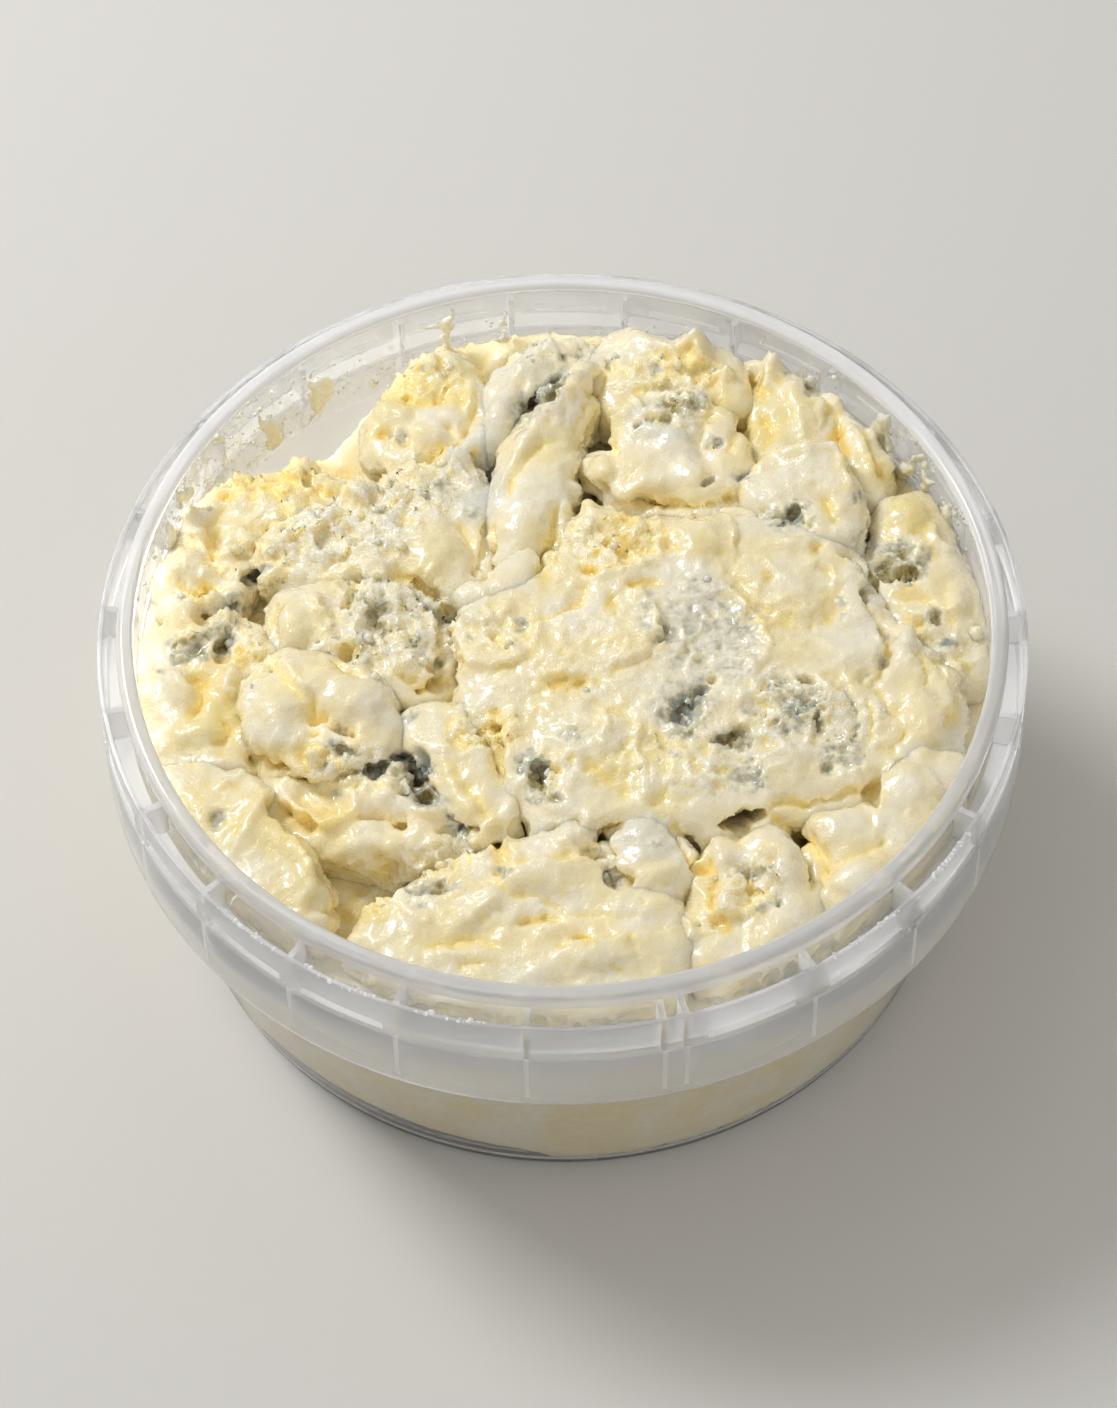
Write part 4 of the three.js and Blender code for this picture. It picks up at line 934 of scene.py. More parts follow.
# Yellow of the paste, and painted shade: many of these ovals sit on the pits and creases of the strokes.
YELLOW_AND_SHADE = [
    (-30, -31, 5, 3.5, 0.7), (0, -8.4, 3.5, 1.2, 0.9), (6.2, 3.8, 0.8, 1.6, 1), (27, 0.8, 6, 2, 0.6),
    (23, 5, 2, 3, 0.5, 30), (33.6, 3, 1.2, 3, 0.5), (5.5, -22, 4, 2, 0.6, -30), (12.5, -26, 3, 2, 0.5),
    (-9, -14.8, 1.8, 1.4, 0.9), (3.6, 9, 1.8, 1.2, 0.8), (8.2, 13, 1.5, 1, 0.8), (8.6, 17, 3, 1.2, 0.6),
    (18, 12.5, 3, 2, 0.55), (10.5, 6.8, 3, 0.7, 0.75), (25.6, 8, 1, 1, 0.8), (32.2, 11.6, 0.8, 1.4, 0.8),
    (34.6, 18, 1, 2.5, 0.7), (14, 21.5, 7, 2.4, 0.7), (11, 19.4, 3, 0.8, 1), (22.4, 21, 1.4, 1.4, 1),
    (27, 31.5, 2.5, 2.5, 0.75), (23, 28, 1.8, 4, 0.6), (36.6, 29, 0.9, 5, 0.95), (21.6, 35, 2, 4, 0.6),
    (26.6, 37.6, 1.4, 2, 0.7), (29, 34, 8, 8, 0.3), (42.4, 23.6, 1.2, 2.4, 0.9, 30), (45, 18, 3, 3.5, 0.7),
    (40, 26, 2, 6, 0.5, 10), (44, 4.8, 2.5, 0.8, 0.8), (47.2, 10.8, 1, 1.2, 0.9), (45.2, 16.4, 2.4, 2, 0.8),
    (46, -6.6, 1.2, 1.6, 0.6), (48.4, -14.5, 1, 2.5, 0.9, -10), (4, 34, 1.2, 6, 0.55, -15),
    (-3, 14, 3, 4, 0.45), (-1.6, 27, 2, 5, 0.4), (-2.2, 7.6, 1, 2, 0.8), (-14, 38.2, 3, 1.2, 0.8),
    (-21, 37, 3, 2, 0.6), (-17, 41, 6, 5, 0.4), (-22.6, 32, 1, 1.2, 1), (-16, 28.5, 2, 1.2, 0.8, 30),
    (-11.3, 27.6, 0.6, 1.8, 0.9), (-20.6, 30, 1.5, 1, 0.8), (-11, 42, 2.5, 2, 0.5), (-38, 24.5, 8, 4, 0.5),
    (-29, 22.5, 1.6, 1, 0.9), (-43.6, 21.6, 1.2, 0.9, 0.9), (-35, 19, 3, 1, 0.6, 20), (-29, 28, 2, 2, 0.4),
    (-45.4, 7.6, 1.6, 1.4, 0.9), (-45.4, -8, 1.6, 4, 0.8), (-42.2, -12, 2.4, 5, 0.65),
    (-40.7, -3, 1.2, 1.4, 0.8), (-37.1, 0.6, 0.6, 2.4, 0.8), (-44, -3, 1.5, 1.5, 0.5), (-46, -14, 5, 4, 0.35),
    (-37.5, 17, 2, 1, 0.5), (-27, -3, 1, 1.6, 0.9), (-20, -7, 1.6, 0.6, 0.9), (-15.6, -8.8, 2.2, 1, 0.9),
    (-19, 8, 3.5, 1.6, 0.8, -15), (-16, 12.5, 4, 5, 0.4), (-35, -18.5, 4, 2, 0.55), (-32, -12.5, 3, 2, 0.35),
    (-28.4, -5.6, 1, 0.5, 0.9, -30), (-30, -25, 4.5, 2.4, 0.6, -15), (-35.2, -27.4, 1.6, 1.4, 1),
    (-27.6, -28, 2, 1, 0.8), (-33, -29, 2.4, 1, 0.9), (-14, -21, 3, 6, 0.4, 20), (-8.6, -19, 1, 4, 0.75, 10),
    (-9.6, -28, 2, 2, 0.5), (-38, -27, 8, 6, 0.3), (-46, -24, 3, 4, 0.45), (-36.4, -31.5, 2, 3, 0.45),
    (-22.6, -35, 1.6, 3, 0.9), (-25, -42.4, 3, 1.6, 0.8), (-29, -36, 4, 5, 0.35), (-34, -38, 4, 3, 0.35),
    (-7.8, -33.2, 1.2, 1.6, 0.6), (-2, -38.6, 4, 2, 0.4), (-12, -46.4, 6, 1.4, 0.45), (2, -46.4, 1, 0.6, 0.9),
    (7.4, -46.4, 0.7, 0.5, 0.8), (-4, -43.8, 2, 0.5, 0.7), (-11, -49.4, 3, 0.8, 0.5), (13, -46, 3, 1.5, 0.45),
    (7, -50, 10, 2, 0.25), (16.4, -36.4, 1.3, 1.6, 1), (17.7, -40.5, 0.8, 2.4, 1), (19, -44.5, 1, 2, 0.7),
    (31, -34, 1.6, 2.4, 0.65), (38.4, -27, 0.8, 2, 0.7), (29, -28.4, 4, 1, 0.4),
]
GRAIN = [
    (-22, 2, 8, 8, 1), (-26, 17, 11, 6, 0.9, 25), (-18, 24, 7, 5, 0.8), (-36, 13, 6, 5, 0.7),
    (-27, -20.5, 8, 3, 1), (-15, -34, 7, 2.4, 0.9, 25), (-22, -39.5, 3, 3, 0.8), (7, 14, 7, 4.5, 0.9),
    (-10, -15.5, 4.5, 3.5, 0.9), (28, -12, 6, 5, 0.8), (20, -20, 7, 5, 0.6), (35, -16, 5, 7, 0.5),
    (15, 35, 5, 3.5, 0.8), (15, 41, 6, 3.5, 1), (-41, 2, 4, 4, 0.6), (-39, -4, 3, 4, 0.8),
    (43, 10, 4, 4, 0.7), (48, -3, 4, 6, 0.5), (23, -38.5, 3.5, 3.5, 0.8), (18, -42, 4, 4, 0.5),
    (2, -5, 9, 7, 0.25), (24, 2, 8, 7, 0.2), (8, -18, 9, 6, 0.25), (-47, 12, 4, 9, 0.4), (2, -31, 5, 3, 0.5),
    (-9, 0, 4, 4, 0.5), (-3, -22, 2, 3, 0.6), (-20, 42, 7, 4, 0.85), (-38, 25, 9, 4.5, 0.85),
    (0, 46, 7, 3, 0.5),
]
PALE = [
    (18.5, -1, 6.5, 8, 0.9), (-9, 0, 5, 5, 0.45), (22, -20, 8, 6, 0.6), (13.5, 33, 5.5, 4.5, 0.8),
    (-8, 35, 3, 6, 0.7, -25), (-12, 24, 5, 7, 0.95), (10, -32, 4.5, 4.5, 0.7), (0, -25, 3.5, 3, 0.5),
    (-22, 2, 8, 8, 0.85), (-26, 17, 11, 6, 0.9, 25), (28, -12, 6, 6, 0.7), (35, -16, 5, 7, 0.6),
    (38, 5, 3, 9, 0.6), (-26, -20, 7, 3, 0.6), (-4, 44, 6, 3, 0.6, 20), (46, -2, 5, 6, 0.5),
    (23.5, -37, 4, 4, 0.6), (30, 21, 5, 6, 0.35), (0, -16, 4, 3, 0.4), (-18, -34, 6, 3, 0.4, 20),
]
SILKY = [
    (-5, -42, 15, 5.5, 1, -5), (8, -45, 8, 5, 1), (-34, -10, 6, 8, 0.9), (-5, 18, 3.5, 9, 0.8),
    (20, -2, 7, 8, 0.8), (28.5, 5, 5, 3, 0.7), (-16, 13, 4, 5, 0.6), (41, -25, 7, 6, 1), (36, -36, 8, 6, 1),
    (-37, -33, 5, 9, 0.7), (25, -34, 4, 5, 0.7), (-26.5, -9.5, 5, 4, 0.7, -35), (4, -17, 7, 7, 0.5),
]
STAINS = {"mould": (MOULD, 0.95), "yellow_and_shade": (YELLOW_AND_SHADE, 0.85), "grain": (GRAIN, 0.45), "pale": (PALE, 0.45)}
print("stains:", {name: len(ovals) for name, (ovals, spread) in STAINS.items()})

# %% Turning ovals into values on the mesh
GROUP_STEPS = 20


def painted(plan, ovals, spread=0.5):
    """How strongly each place is covered by the ovals, from 0 to 1. Their edge fades over the spread."""
    bare = np.ones(len(plan))
    for x, y, width, length, strength, *turn in ovals:
        margin = (1 + spread) * max(width, length)
        near = np.flatnonzero((np.abs(plan - (x, y)) < margin).all(axis=1))
        if len(near):
            away = oval(plan[near], x, y, width, length, *turn)
            bare[near] *= 1 - strength * ease((1 + spread - away) / (2 * spread))
    return 1 - bare


def set_value(piece, name, values):
    """Stores one number per point as an attribute."""
    attribute = piece.data.attributes.new(name, "FLOAT", "POINT")
    attribute.data.foreach_set("value", np.asarray(values, np.float32))


def set_group(piece, name, values):
    """Stores the same numbers as a vertex group, in steps, so that a modifier can be limited by them."""
    group = piece.vertex_groups.new(name=name)
    steps = np.round(np.clip(values, 0, 1) * GROUP_STEPS).astype(int)
    for step in range(1, GROUP_STEPS + 1):
        group.add(np.flatnonzero(steps == step).tolist(), step / GROUP_STEPS, "REPLACE")


print("cover in the middle and on the edge:", painted(np.array([[0, 0], [2, 0]]), [(0, 0, 2, 2, 1)]))

# %% [markdown]
# ## Working the surface
# The strokes move each point along its normal, except for the peaks, which are pulled straight up. Then the
# paste gets its own unevenness from procedural textures in Displace modifiers: a rolling one, folds and
# ragged clouds, small curds, and a fine one. Smooth lobes have little of it. Grainy parts and torn steep
# edges have it in full.

# %% Textures for the unevenness
def texture(name, kind, size, **settings):
    """One of Blender's procedural textures, with its size in millimetres."""
    made = bpy.data.textures.new(name, kind)
    made.noise_scale = size * MM
    for key, value in settings.items():
        setattr(made, key, value)
    return made


ROLLING = texture("rolling", "CLOUDS", 5.5, noise_depth=1)
FOLDED = texture("folded", "MUSGRAVE", 3.2, musgrave_type="RIDGED_MULTIFRACTAL", octaves=3)
RAGGED = texture("ragged", "CLOUDS", 1.8, noise_depth=1, noise_type="HARD_NOISE")
CURDS = texture("curds", "VORONOI", 1.25, distance_metric="DISTANCE")
FINE = texture("fine", "CLOUDS", 0.8, noise_depth=2, noise_type="HARD_NOISE")
UNEVENNESS = (                   # texture, strength in millimetres, vertex group
    (ROLLING, 0.9, "free"), (FOLDED, 0.95, "rugged"), (RAGGED, 0.8, "rugged"), (CURDS, -0.7, "grain"),
    (FINE, 0.6, "rugged"),
)


def work(piece, noise_texture, strength, group=""):
    """Pushes the skin in and out by a texture. The strength is in millimetres."""
    settings = {"texture": noise_texture, "texture_coords": "LOCAL", "mid_level": 0.5}
    modify(piece, "DISPLACE", strength=strength * MM, vertex_group=group, **settings)


print("layers of unevenness:", [(layer.name, strength) for layer, strength, _ in UNEVENNESS])

# %% Sculpt every piece
STROKE_GAIN = 1.2
STAIN_WOBBLE = 0.6
SIDE_TOP, OPEN_RISE = 34, 4      # below the first, in millimetres, the cheese lies against the pot
MOULD_GRAIN, MOULD_SPREAD = 0.9, 0.3
GRAIN_KEPT = 0.7                 # how much of the grain escapes the smoothing
SILKY_CALM = 0.75
ROUGH_GROUPS = {"rugged": (0.2, 0.65), "grain": (0.1, 0.4)}     # share everywhere, share on torn edges
PULLS = [stroke for stroke in STROKES if stroke[0] is spike]
PUSHES = [stroke for stroke in STROKES if stroke[0] is not spike]


def upper_side(points):
    """1 over the open top of the cheese, falling to 0 on the parts that lie against the pot."""
    return ease((points[:, 2] - SIDE_TOP) / OPEN_RISE)


def torn_edges(piece, points):
    """1 where the surface is steep and was torn, with whole stretches left out by a broad noise."""
    return ease(1.6 * (0.6 - normals_of(piece)[:, 2])) * ease(1.5 + 2 * noise(points, 6, 31))


def sculpt(piece):
    """Applies all strokes, then the unevenness, and stores what the shader needs."""
    points, normals = points_of(piece), normals_of(piece)
    plan, free = seen_plan(points), upper_side(points)
    points += (STROKE_GAIN * free * total_of(plan, PUSHES))[:, None] * normals
    points[:, 2] += free * total_of(plan, PULLS)
    move_points(piece, keep_inside(points))
    grain = np.maximum(painted(plan, GRAIN), MOULD_GRAIN * painted(plan, MOULD, MOULD_SPREAD))
    set_group(piece, "smooth", 1 - GRAIN_KEPT * grain)
    modify(piece, "SMOOTH", factor=0.5, iterations=4, vertex_group="smooth")
    silky = painted(plan, SILKY)
    torn_edge = torn_edges(piece, points) * (1 - silky)
    set_group(piece, "free", free * (1 - SILKY_CALM * silky))
    for name, (least, on_edges) in ROUGH_GROUPS.items():
        set_group(piece, name, free * np.maximum(least + (1 - least) * grain, on_edges * torn_edge))
    for layer in UNEVENNESS:
        work(piece, *layer)
    points = keep_inside(points_of(piece))
    move_points(piece, points)
    plan, free = seen_plan(points, STAIN_WOBBLE), upper_side(points)
    for name, (ovals, spread) in STAINS.items():
        set_value(piece, "paste_" + name, free * painted(plan, ovals, spread))
    piece.vertex_groups.clear()


for piece in cheeses:
    sculpt(piece)
print("sculpted pieces:", len(cheeses))

# %% [markdown]
# ## Hollows
# Light that gets into a crease of soft cheese bounces until it is deep yellow. How hollow each point lies is
# measured from its neighbours, blurred over a millimetre or two, and stored as one more value. The paste group
# uses it as painted shade: it paints the creases yellow and darkens the mould in them.

# %% Measure how hollow the surface is
HOLLOW_ROUNDS, HOLLOW_GAIN = 14, 1.6


def hollows(piece, rounds):
    """Positive where the surface is hollow, in millimetres, from repeated averaging with the neighbours."""
    ends = np.empty(2 * len(piece.data.edges), int)
    piece.data.edges.foreach_get("vertices", ends)
    a, b = ends.reshape(-1, 2).T
    points = points_of(piece)
    neighbours = np.bincount(np.concatenate([a, b]), minlength=len(points))[:, None]
    blurred = points.copy()
    for _ in range(rounds):
        total = np.zeros_like(points)
        for axis in range(3):
            for near, far in ((a, b), (b, a)):
                total[:, axis] += np.bincount(near, blurred[far, axis], len(points))
        blurred = 0.5 * blurred + 0.5 * total / neighbours
    return ((blurred - points) * normals_of(piece)).sum(axis=1)


# The hollow value is painted shade: the paste group turns creases yellow and darkens the mould in them.
for piece in cheeses:
    set_value(piece, "paste_hollow_shade", np.clip(0.5 + HOLLOW_GAIN * hollows(piece, HOLLOW_ROUNDS), 0, 1))
stored = lumps["cheese_great_slab"].data.attributes.keys()
print("values stored on the slab:", [name for name in stored if name.startswith("paste_")])

# %% [markdown]
# ## Smears on the wall
# Where the scoop passed, some cheese stays on the inside of the wall: thick drops that hang below the rim,
# thin strands, and a film that only clouds the plastic. Each kind starts as a grid that is bent onto the
# wall. What the painted ovals leave bare is deleted, the rest is extruded inwards, and the new layer is
# lifted by the thickness.

# %% Where cheese sticks to the wall
DROPS = [
    (-31.5, 39.5, 1.5, 2.2, 1), (-32.8, 35.5, 0.35, 1.6, 0.8), (-31.8, 37.5, 0.8, 1.2, 1),
    (-38, 32.5, 1, 2.4, 1), (-38.3, 28, 0.4, 1.6, 0.9), (-39.3, 34.5, 0.3, 2, 0.7),
    (-44.4, 31.3, 0.8, 0.8, 0.8), (-29, 41.6, 0.6, 0.5, 0.7), (-21, 42.6, 0.6, 0.5, 0.8),
    (-24.6, 41, 0.7, 0.6, 0.7), (-37.8, 38.5, 0.3, 0.8, 0.8), (-15, 47.5, 0.7, 3.8, 0.8, -8),
    (-16.6, 49.8, 1.4, 0.5, 0.7, 20), (-14.2, 51, 0.4, 1.4, 0.7), (-7, 51, 0.5, 1.4, 0.8),
    (-7.6, 48.6, 0.6, 1, 0.8), (11, 47, 0.6, 1.4, 0.8), (27.5, 46, 0.3, 1, 0.8),
    (33.4, 39.6, 0.9, 1.4, 0.7, -20), (42.3, 31.7, 1.3, 1.5, 1), (43.2, 28.6, 0.4, 1.6, 0.9),
    (45.2, 25, 1.1, 1.1, 0.9), (46.6, 26.4, 0.9, 0.6, 0.9), (47.6, 24.2, 0.4, 1.6, 0.8),
    (47.6, 21.8, 0.6, 1.5, 0.9), (48.2, 19, 0.3, 1.5, 0.8), (50, 17, 0.6, 1.8, 0.9),
    (49.8, 14, 0.9, 1.8, 0.8), (50.8, 11, 0.6, 0.7, 0.8), (-50.5, 16, 0.8, 2.4, 0.8, 10),
    (-48.8, 22, 0.9, 1.6, 0.8), (-51.4, 8, 0.6, 1.6, 0.7),
]
FILM = [
    (-42, 30, 3.5, 4, 0.75), (-36, 35, 3, 3.2, 0.7), (-46, 25, 2.6, 4, 0.7), (-24, 44.6, 2.6, 0.8, 0.8, -25),
    (-21, 45.8, 2, 0.6, 0.8, -20), (-29, 42.4, 1.5, 0.8, 0.7, -30), (15, 47, 3, 1, 0.7),
    (33, 38.6, 1.8, 1.6, 0.75), (33, 40.5, 2, 1.5, 0.7), (46, 24, 2.5, 3, 0.75), (51, 8, 1, 5, 0.6),
    (-51, 12, 1, 6, 0.6), (40, 34, 2, 1.6, 0.6), (-13, 49, 2, 1.4, 0.5), (44, 30, 1.4, 1.6, 0.6),
]
SPECKLED = [
    (-40, 31, 7, 7, 1, 30), (-32, 38, 5, 5, 0.9), (-47, 22, 4, 6, 0.8), (-24, 43, 5, 3, 0.8),
    (45, 26, 4, 5, 0.7), (34, 39, 3, 3, 0.6), (12, 48, 6, 2, 0.4), (-10, 49.5, 5, 2, 0.5),
    (50, 14, 2, 6, 0.6), (-51, 8, 2, 8, 0.6),
]
WALL_ANGLES = (-15, 200)
WALL_HEIGHTS = (37, 50.6)
print("drops, films and speckled places:", len(DROPS), len(FILM), len(SPECKLED))

# %% Grow the smears
SMEAR_WOBBLE, SMEAR_SPREAD, SMEAR_TEARING = 0.7, 0.45, 0.3
BARE_BELOW = 0.42                # faces that are covered less than this are left bare
EDGE_THICK = 0.12                # a smear's thickness at its edge
DROP_STEP = 0.00026


def around(radius, angle, height):
    """Places given by radius, angle and height, as rows of x, y and z."""
    return np.stack([radius * np.cos(angle), radius * np.sin(angle), height], axis=1)


def wall_grid(name, step):
    """A grid bent onto the inside of the wall at the back and the sides."""
    first, last = np.radians(WALL_ANGLES)
    low, high = WALL_HEIGHTS
    columns = int((last - first) * inner_radius(high) / step)
    bpy.ops.object.select_all(action="DESELECT")
    bpy.ops.mesh.primitive_grid_add(x_subdivisions=columns, y_subdivisions=int((high - low) / step), size=1)
    grid = bpy.context.object
    grid.name = name
    share = points_of(grid) * MM + 0.5
    angle = first + (last - first) * share[:, 0]
    height = low + (high - low) * share[:, 1]
    move_points(grid, around(inner_radius(height) + WALL_BITE, angle, height))
    return grid


def choose_faces(piece, chosen):
    """Selects only the chosen faces and goes into edit mode."""
    edit(
        piece,
        lambda: bpy.ops.mesh.select_all(action="DESELECT"),
        lambda: bpy.ops.mesh.select_mode(type="FACE"),
    )
    piece.data.polygons.foreach_set("select", chosen)
    bpy.ops.object.mode_set(mode="EDIT")


def smear_amount(points, ovals):
    """How much cheese sticks at each place. Noise tears the edges."""
    covered = painted(seen_plan(points, SMEAR_WOBBLE), ovals, SMEAR_SPREAD)
    return covered + SMEAR_TEARING * noise(points, 0.8, 41) * (covered > 0.01)


def smear(name, ovals, step, thickness):
    """A torn layer on the wall where the ovals lie, as thick as they are strong."""
    sheet = wall_grid(name, step)
    amount = smear_amount(points_of(sheet), ovals)
    corners = np.empty(4 * len(sheet.data.polygons), int)
    sheet.data.polygons.foreach_get("vertices", corners)
    choose_faces(sheet, amount[corners.reshape(-1, 4)].mean(axis=1) < BARE_BELOW)
    bpy.ops.mesh.delete(type="FACE")
    bpy.ops.mesh.select_mode(type="VERT")
    bpy.ops.object.mode_set(mode="OBJECT")
    edit(sheet, lambda: bpy.ops.mesh.extrude_region_move(TRANSFORM_OT_translate={"value": (0, 0, 0)}))
    lifted = np.array([vertex.select for vertex in sheet.data.vertices])
    points = points_of(sheet)
    radius = np.hypot(points[:, 0], points[:, 1])
    lift = np.where(lifted, EDGE_THICK + thickness * ease(1.6 * (smear_amount(points, ovals) - 0.38)), 0)
    points[:, :2] *= (1 - lift / radius)[:, None]
    move_points(sheet, points)
    edit(sheet, lambda: bpy.ops.mesh.normals_make_consistent(inside=False))
    return sheet


drops = smear("wall_drops", DROPS, 0.4, 0.9)
skin(drops, DROP_STEP, 4)
work(drops, FINE, 0.12)
film = smear("wall_film", FILM, 0.35, 0.12)
print("drops and film:", triangles(drops), triangles(film), "triangles")

# %% [markdown]
# ## Specks, grains and torn plastic
# Three small things are scattered: specks of cheese on the wall, loose grains where the cheese is dry, and
# the frayed bits along the top of the guard ring, left when its tear strip was pulled off. Each kind is one
# mesh of uneven beads with few faces, placed by seeded random numbers.

# %% Beads of any kind
BEAD_LUMPS = (0.65, 1.3)


def scatter(name, places, middle, spread, seed, stretch=(0.7, 1.3)):
    """One mesh of uneven beads at the given places. Their radii are lognormal, with a middle and a spread."""
    radii = np.random.default_rng(seed).lognormal(middle, spread, len(places))
    random = np.random.default_rng(seed + 1)
    bpy.ops.object.select_all(action="DESELECT")
    bpy.ops.mesh.primitive_uv_sphere_add(segments=7, ring_count=5, radius=MM)
    bead = bpy.context.object
    shape = points_of(bead)
    faces = [tuple(face.vertices) for face in bead.data.polygons]
    bpy.data.objects.remove(bead)
    uneven = random.uniform(*BEAD_LUMPS, (len(places), len(shape), 1))
    uneven = uneven * random.uniform(*stretch, (len(places), 1, 3))
    points = places[:, None] + shape * uneven * radii[:, None, None]
    every_face = [[corner + i * len(shape) for corner in face] for i in range(len(places)) for face in faces]
    mesh = bpy.data.meshes.new(name)
    mesh.from_pydata((points.reshape(-1, 3) * MM).tolist(), [], every_face)
    piece = bpy.data.objects.new(name, mesh)
    bpy.context.scene.collection.objects.link(piece)
    only(piece)
    bpy.ops.object.shade_smooth()
    return piece


print("a bead varies by a factor of", BEAD_LUMPS)

# %% Specks, loose grains and torn bits
TRIES, SPECK_SHARE = 30, 0.25
GRAIN_FACING, GRAIN_LEVEL, GRAIN_SUNK = 0.25, 41, 0.08


def speck_places(count, seed):
    """Places on the wall, more of them where the ovals lie."""
    random = np.random.default_rng(seed)
    angle = np.radians(random.uniform(*WALL_ANGLES, TRIES * count))
    height = random.uniform(*WALL_HEIGHTS, TRIES * count)
    places = around(inner_radius(height), angle, height)
    likely = painted(seen_plan(places, 0), SPECKLED)
    return places[random.uniform(size=len(places)) < SPECK_SHARE * likely][:count]


def grain_places(count, seed):
    """Places on the upper side of the grainy cheese, a little sunk in."""
    random = np.random.default_rng(seed)
    points = np.concatenate([points_of(lump) for lump in lumps.values()])
    normals = np.concatenate([normals_of(lump) for lump in lumps.values()])
    likely = painted(seen_plan(points), GRAIN) * (normals[:, 2] > GRAIN_FACING) * (points[:, 2] > GRAIN_LEVEL)
    chosen = random.choice(len(points), count, replace=False, p=likely / likely.sum())
    return points[chosen] - GRAIN_SUNK * normals[chosen]


def torn_places(spans, count, seed):
    """Places along the guard ring's top between pairs of angles."""
    random = np.random.default_rng(seed)
    angle = np.radians(np.concatenate([random.uniform(a - 90, b - 90, count) for a, b in spans]))
    radius = COLLAR_R - COLLAR_STEP - COLLAR_WALL / 2 + random.uniform(-0.3, 0.3, len(angle))
    return around(radius, angle, GUARD_TOP + random.uniform(-0.1, 0.06, len(angle)))


TORN_SPANS = [(-47, -37), (-33, -22), (-19, -9), (33, 44), (49, 58)]
specks = scatter("wall_specks", speck_places(420, 51), -1.75, 0.42, 52)
grains = scatter("loose_grains", grain_places(130, 54), -1.0, 0.32, 55, (0.7, 1.6))
torn = scatter("torn_bits", torn_places(TORN_SPANS, 26, 57), -1.95, 0.35, 58, (0.5, 1.8))
print("faces of specks, grains and torn bits:", [len(bits.data.polygons) for bits in (specks, grains, torn)])

# %% [markdown]
# ## Finishes
# The cheese is soft and wet: light goes a millimetre or two into it, so shadows glow yellow, and its skin has
# small sharp highlights. One node group turns the stored stains into a colour, a roughness and a height, with
# noise that breaks every edge, and paints shade into the hollows: yellow paste and darker mould. The materials
# differ in the values they give it.

# %% Small helpers for node trees
def new_material(name):
    material = bpy.data.materials.new(name)
    material.use_nodes = True
    return material, material.node_tree, material.node_tree.nodes["Principled BSDF"]


def srgb(red, green, blue):
    """A colour given as the eye reads it, from 0 to 255, in the linear values that a shader wants."""
    parts = [channel / 255 for channel in (red, green, blue)]
    return (*[c / 12.92 if c <= 0.04045 else ((c + 0.055) / 1.055) ** 2.4 for c in parts], 1)


def feed(tree, node, inputs):
    """Gives each named input of a node a value or a link."""
    for key, value in dict(inputs).items():
        if isinstance(value, bpy.types.NodeSocket):
            tree.links.new(value, node.inputs[key])
        else:
            node.inputs[key].default_value = value


def add(tree, kind, inputs=(), **settings):
    """Adds a node, sets its properties and feeds its inputs."""
    node = tree.nodes.new(kind)
    for key, value in settings.items():
        setattr(node, key, value)
    feed(tree, node, inputs)
    return node


def math_node(tree, operation, *values):
    return add(tree, "ShaderNodeMath", enumerate(values), operation=operation).outputs[0]


def blend_colour(tree, share, first, second):
    """Blends two colours by a share from 0 to 1."""
    node = add(tree, "ShaderNodeMix", {0: share, 6: first, 7: second}, data_type="RGBA")
    return node.outputs[2]


def step_up(tree, value, start, end):
    """A smooth rise from 0 to 1 between two values."""
    inputs = {0: value, 1: start, 2: end}
    return add(tree, "ShaderNodeMapRange", inputs, interpolation_type="SMOOTHSTEP").outputs[0]


print("middle grey in linear values:", round(srgb(128, 128, 128)[0], 3))

# %% The paste group
CREAM = srgb(250, 235, 188)
IVORY = srgb(250, 243, 219)
PALE_PASTE = srgb(236, 233, 218)
SPECK = srgb(184, 188, 172)
# These two yellows are the paste's own yellow, and painted shade where the hollows and the pit ovals use them.
SOFT_YELLOW = srgb(247, 229, 164)
DEEP_YELLOW = srgb(241, 211, 124)
MOULD_HALO = srgb(226, 221, 200)
MOULD_LIGHT = srgb(201, 199, 180)
MOULD_OLIVE = srgb(174, 162, 116)
MOULD_SLATE = srgb(152, 159, 154)
# The darkest mould tone, which the hollows paint in mostly as shade.
MOULD_DARK = srgb(118, 104, 64)


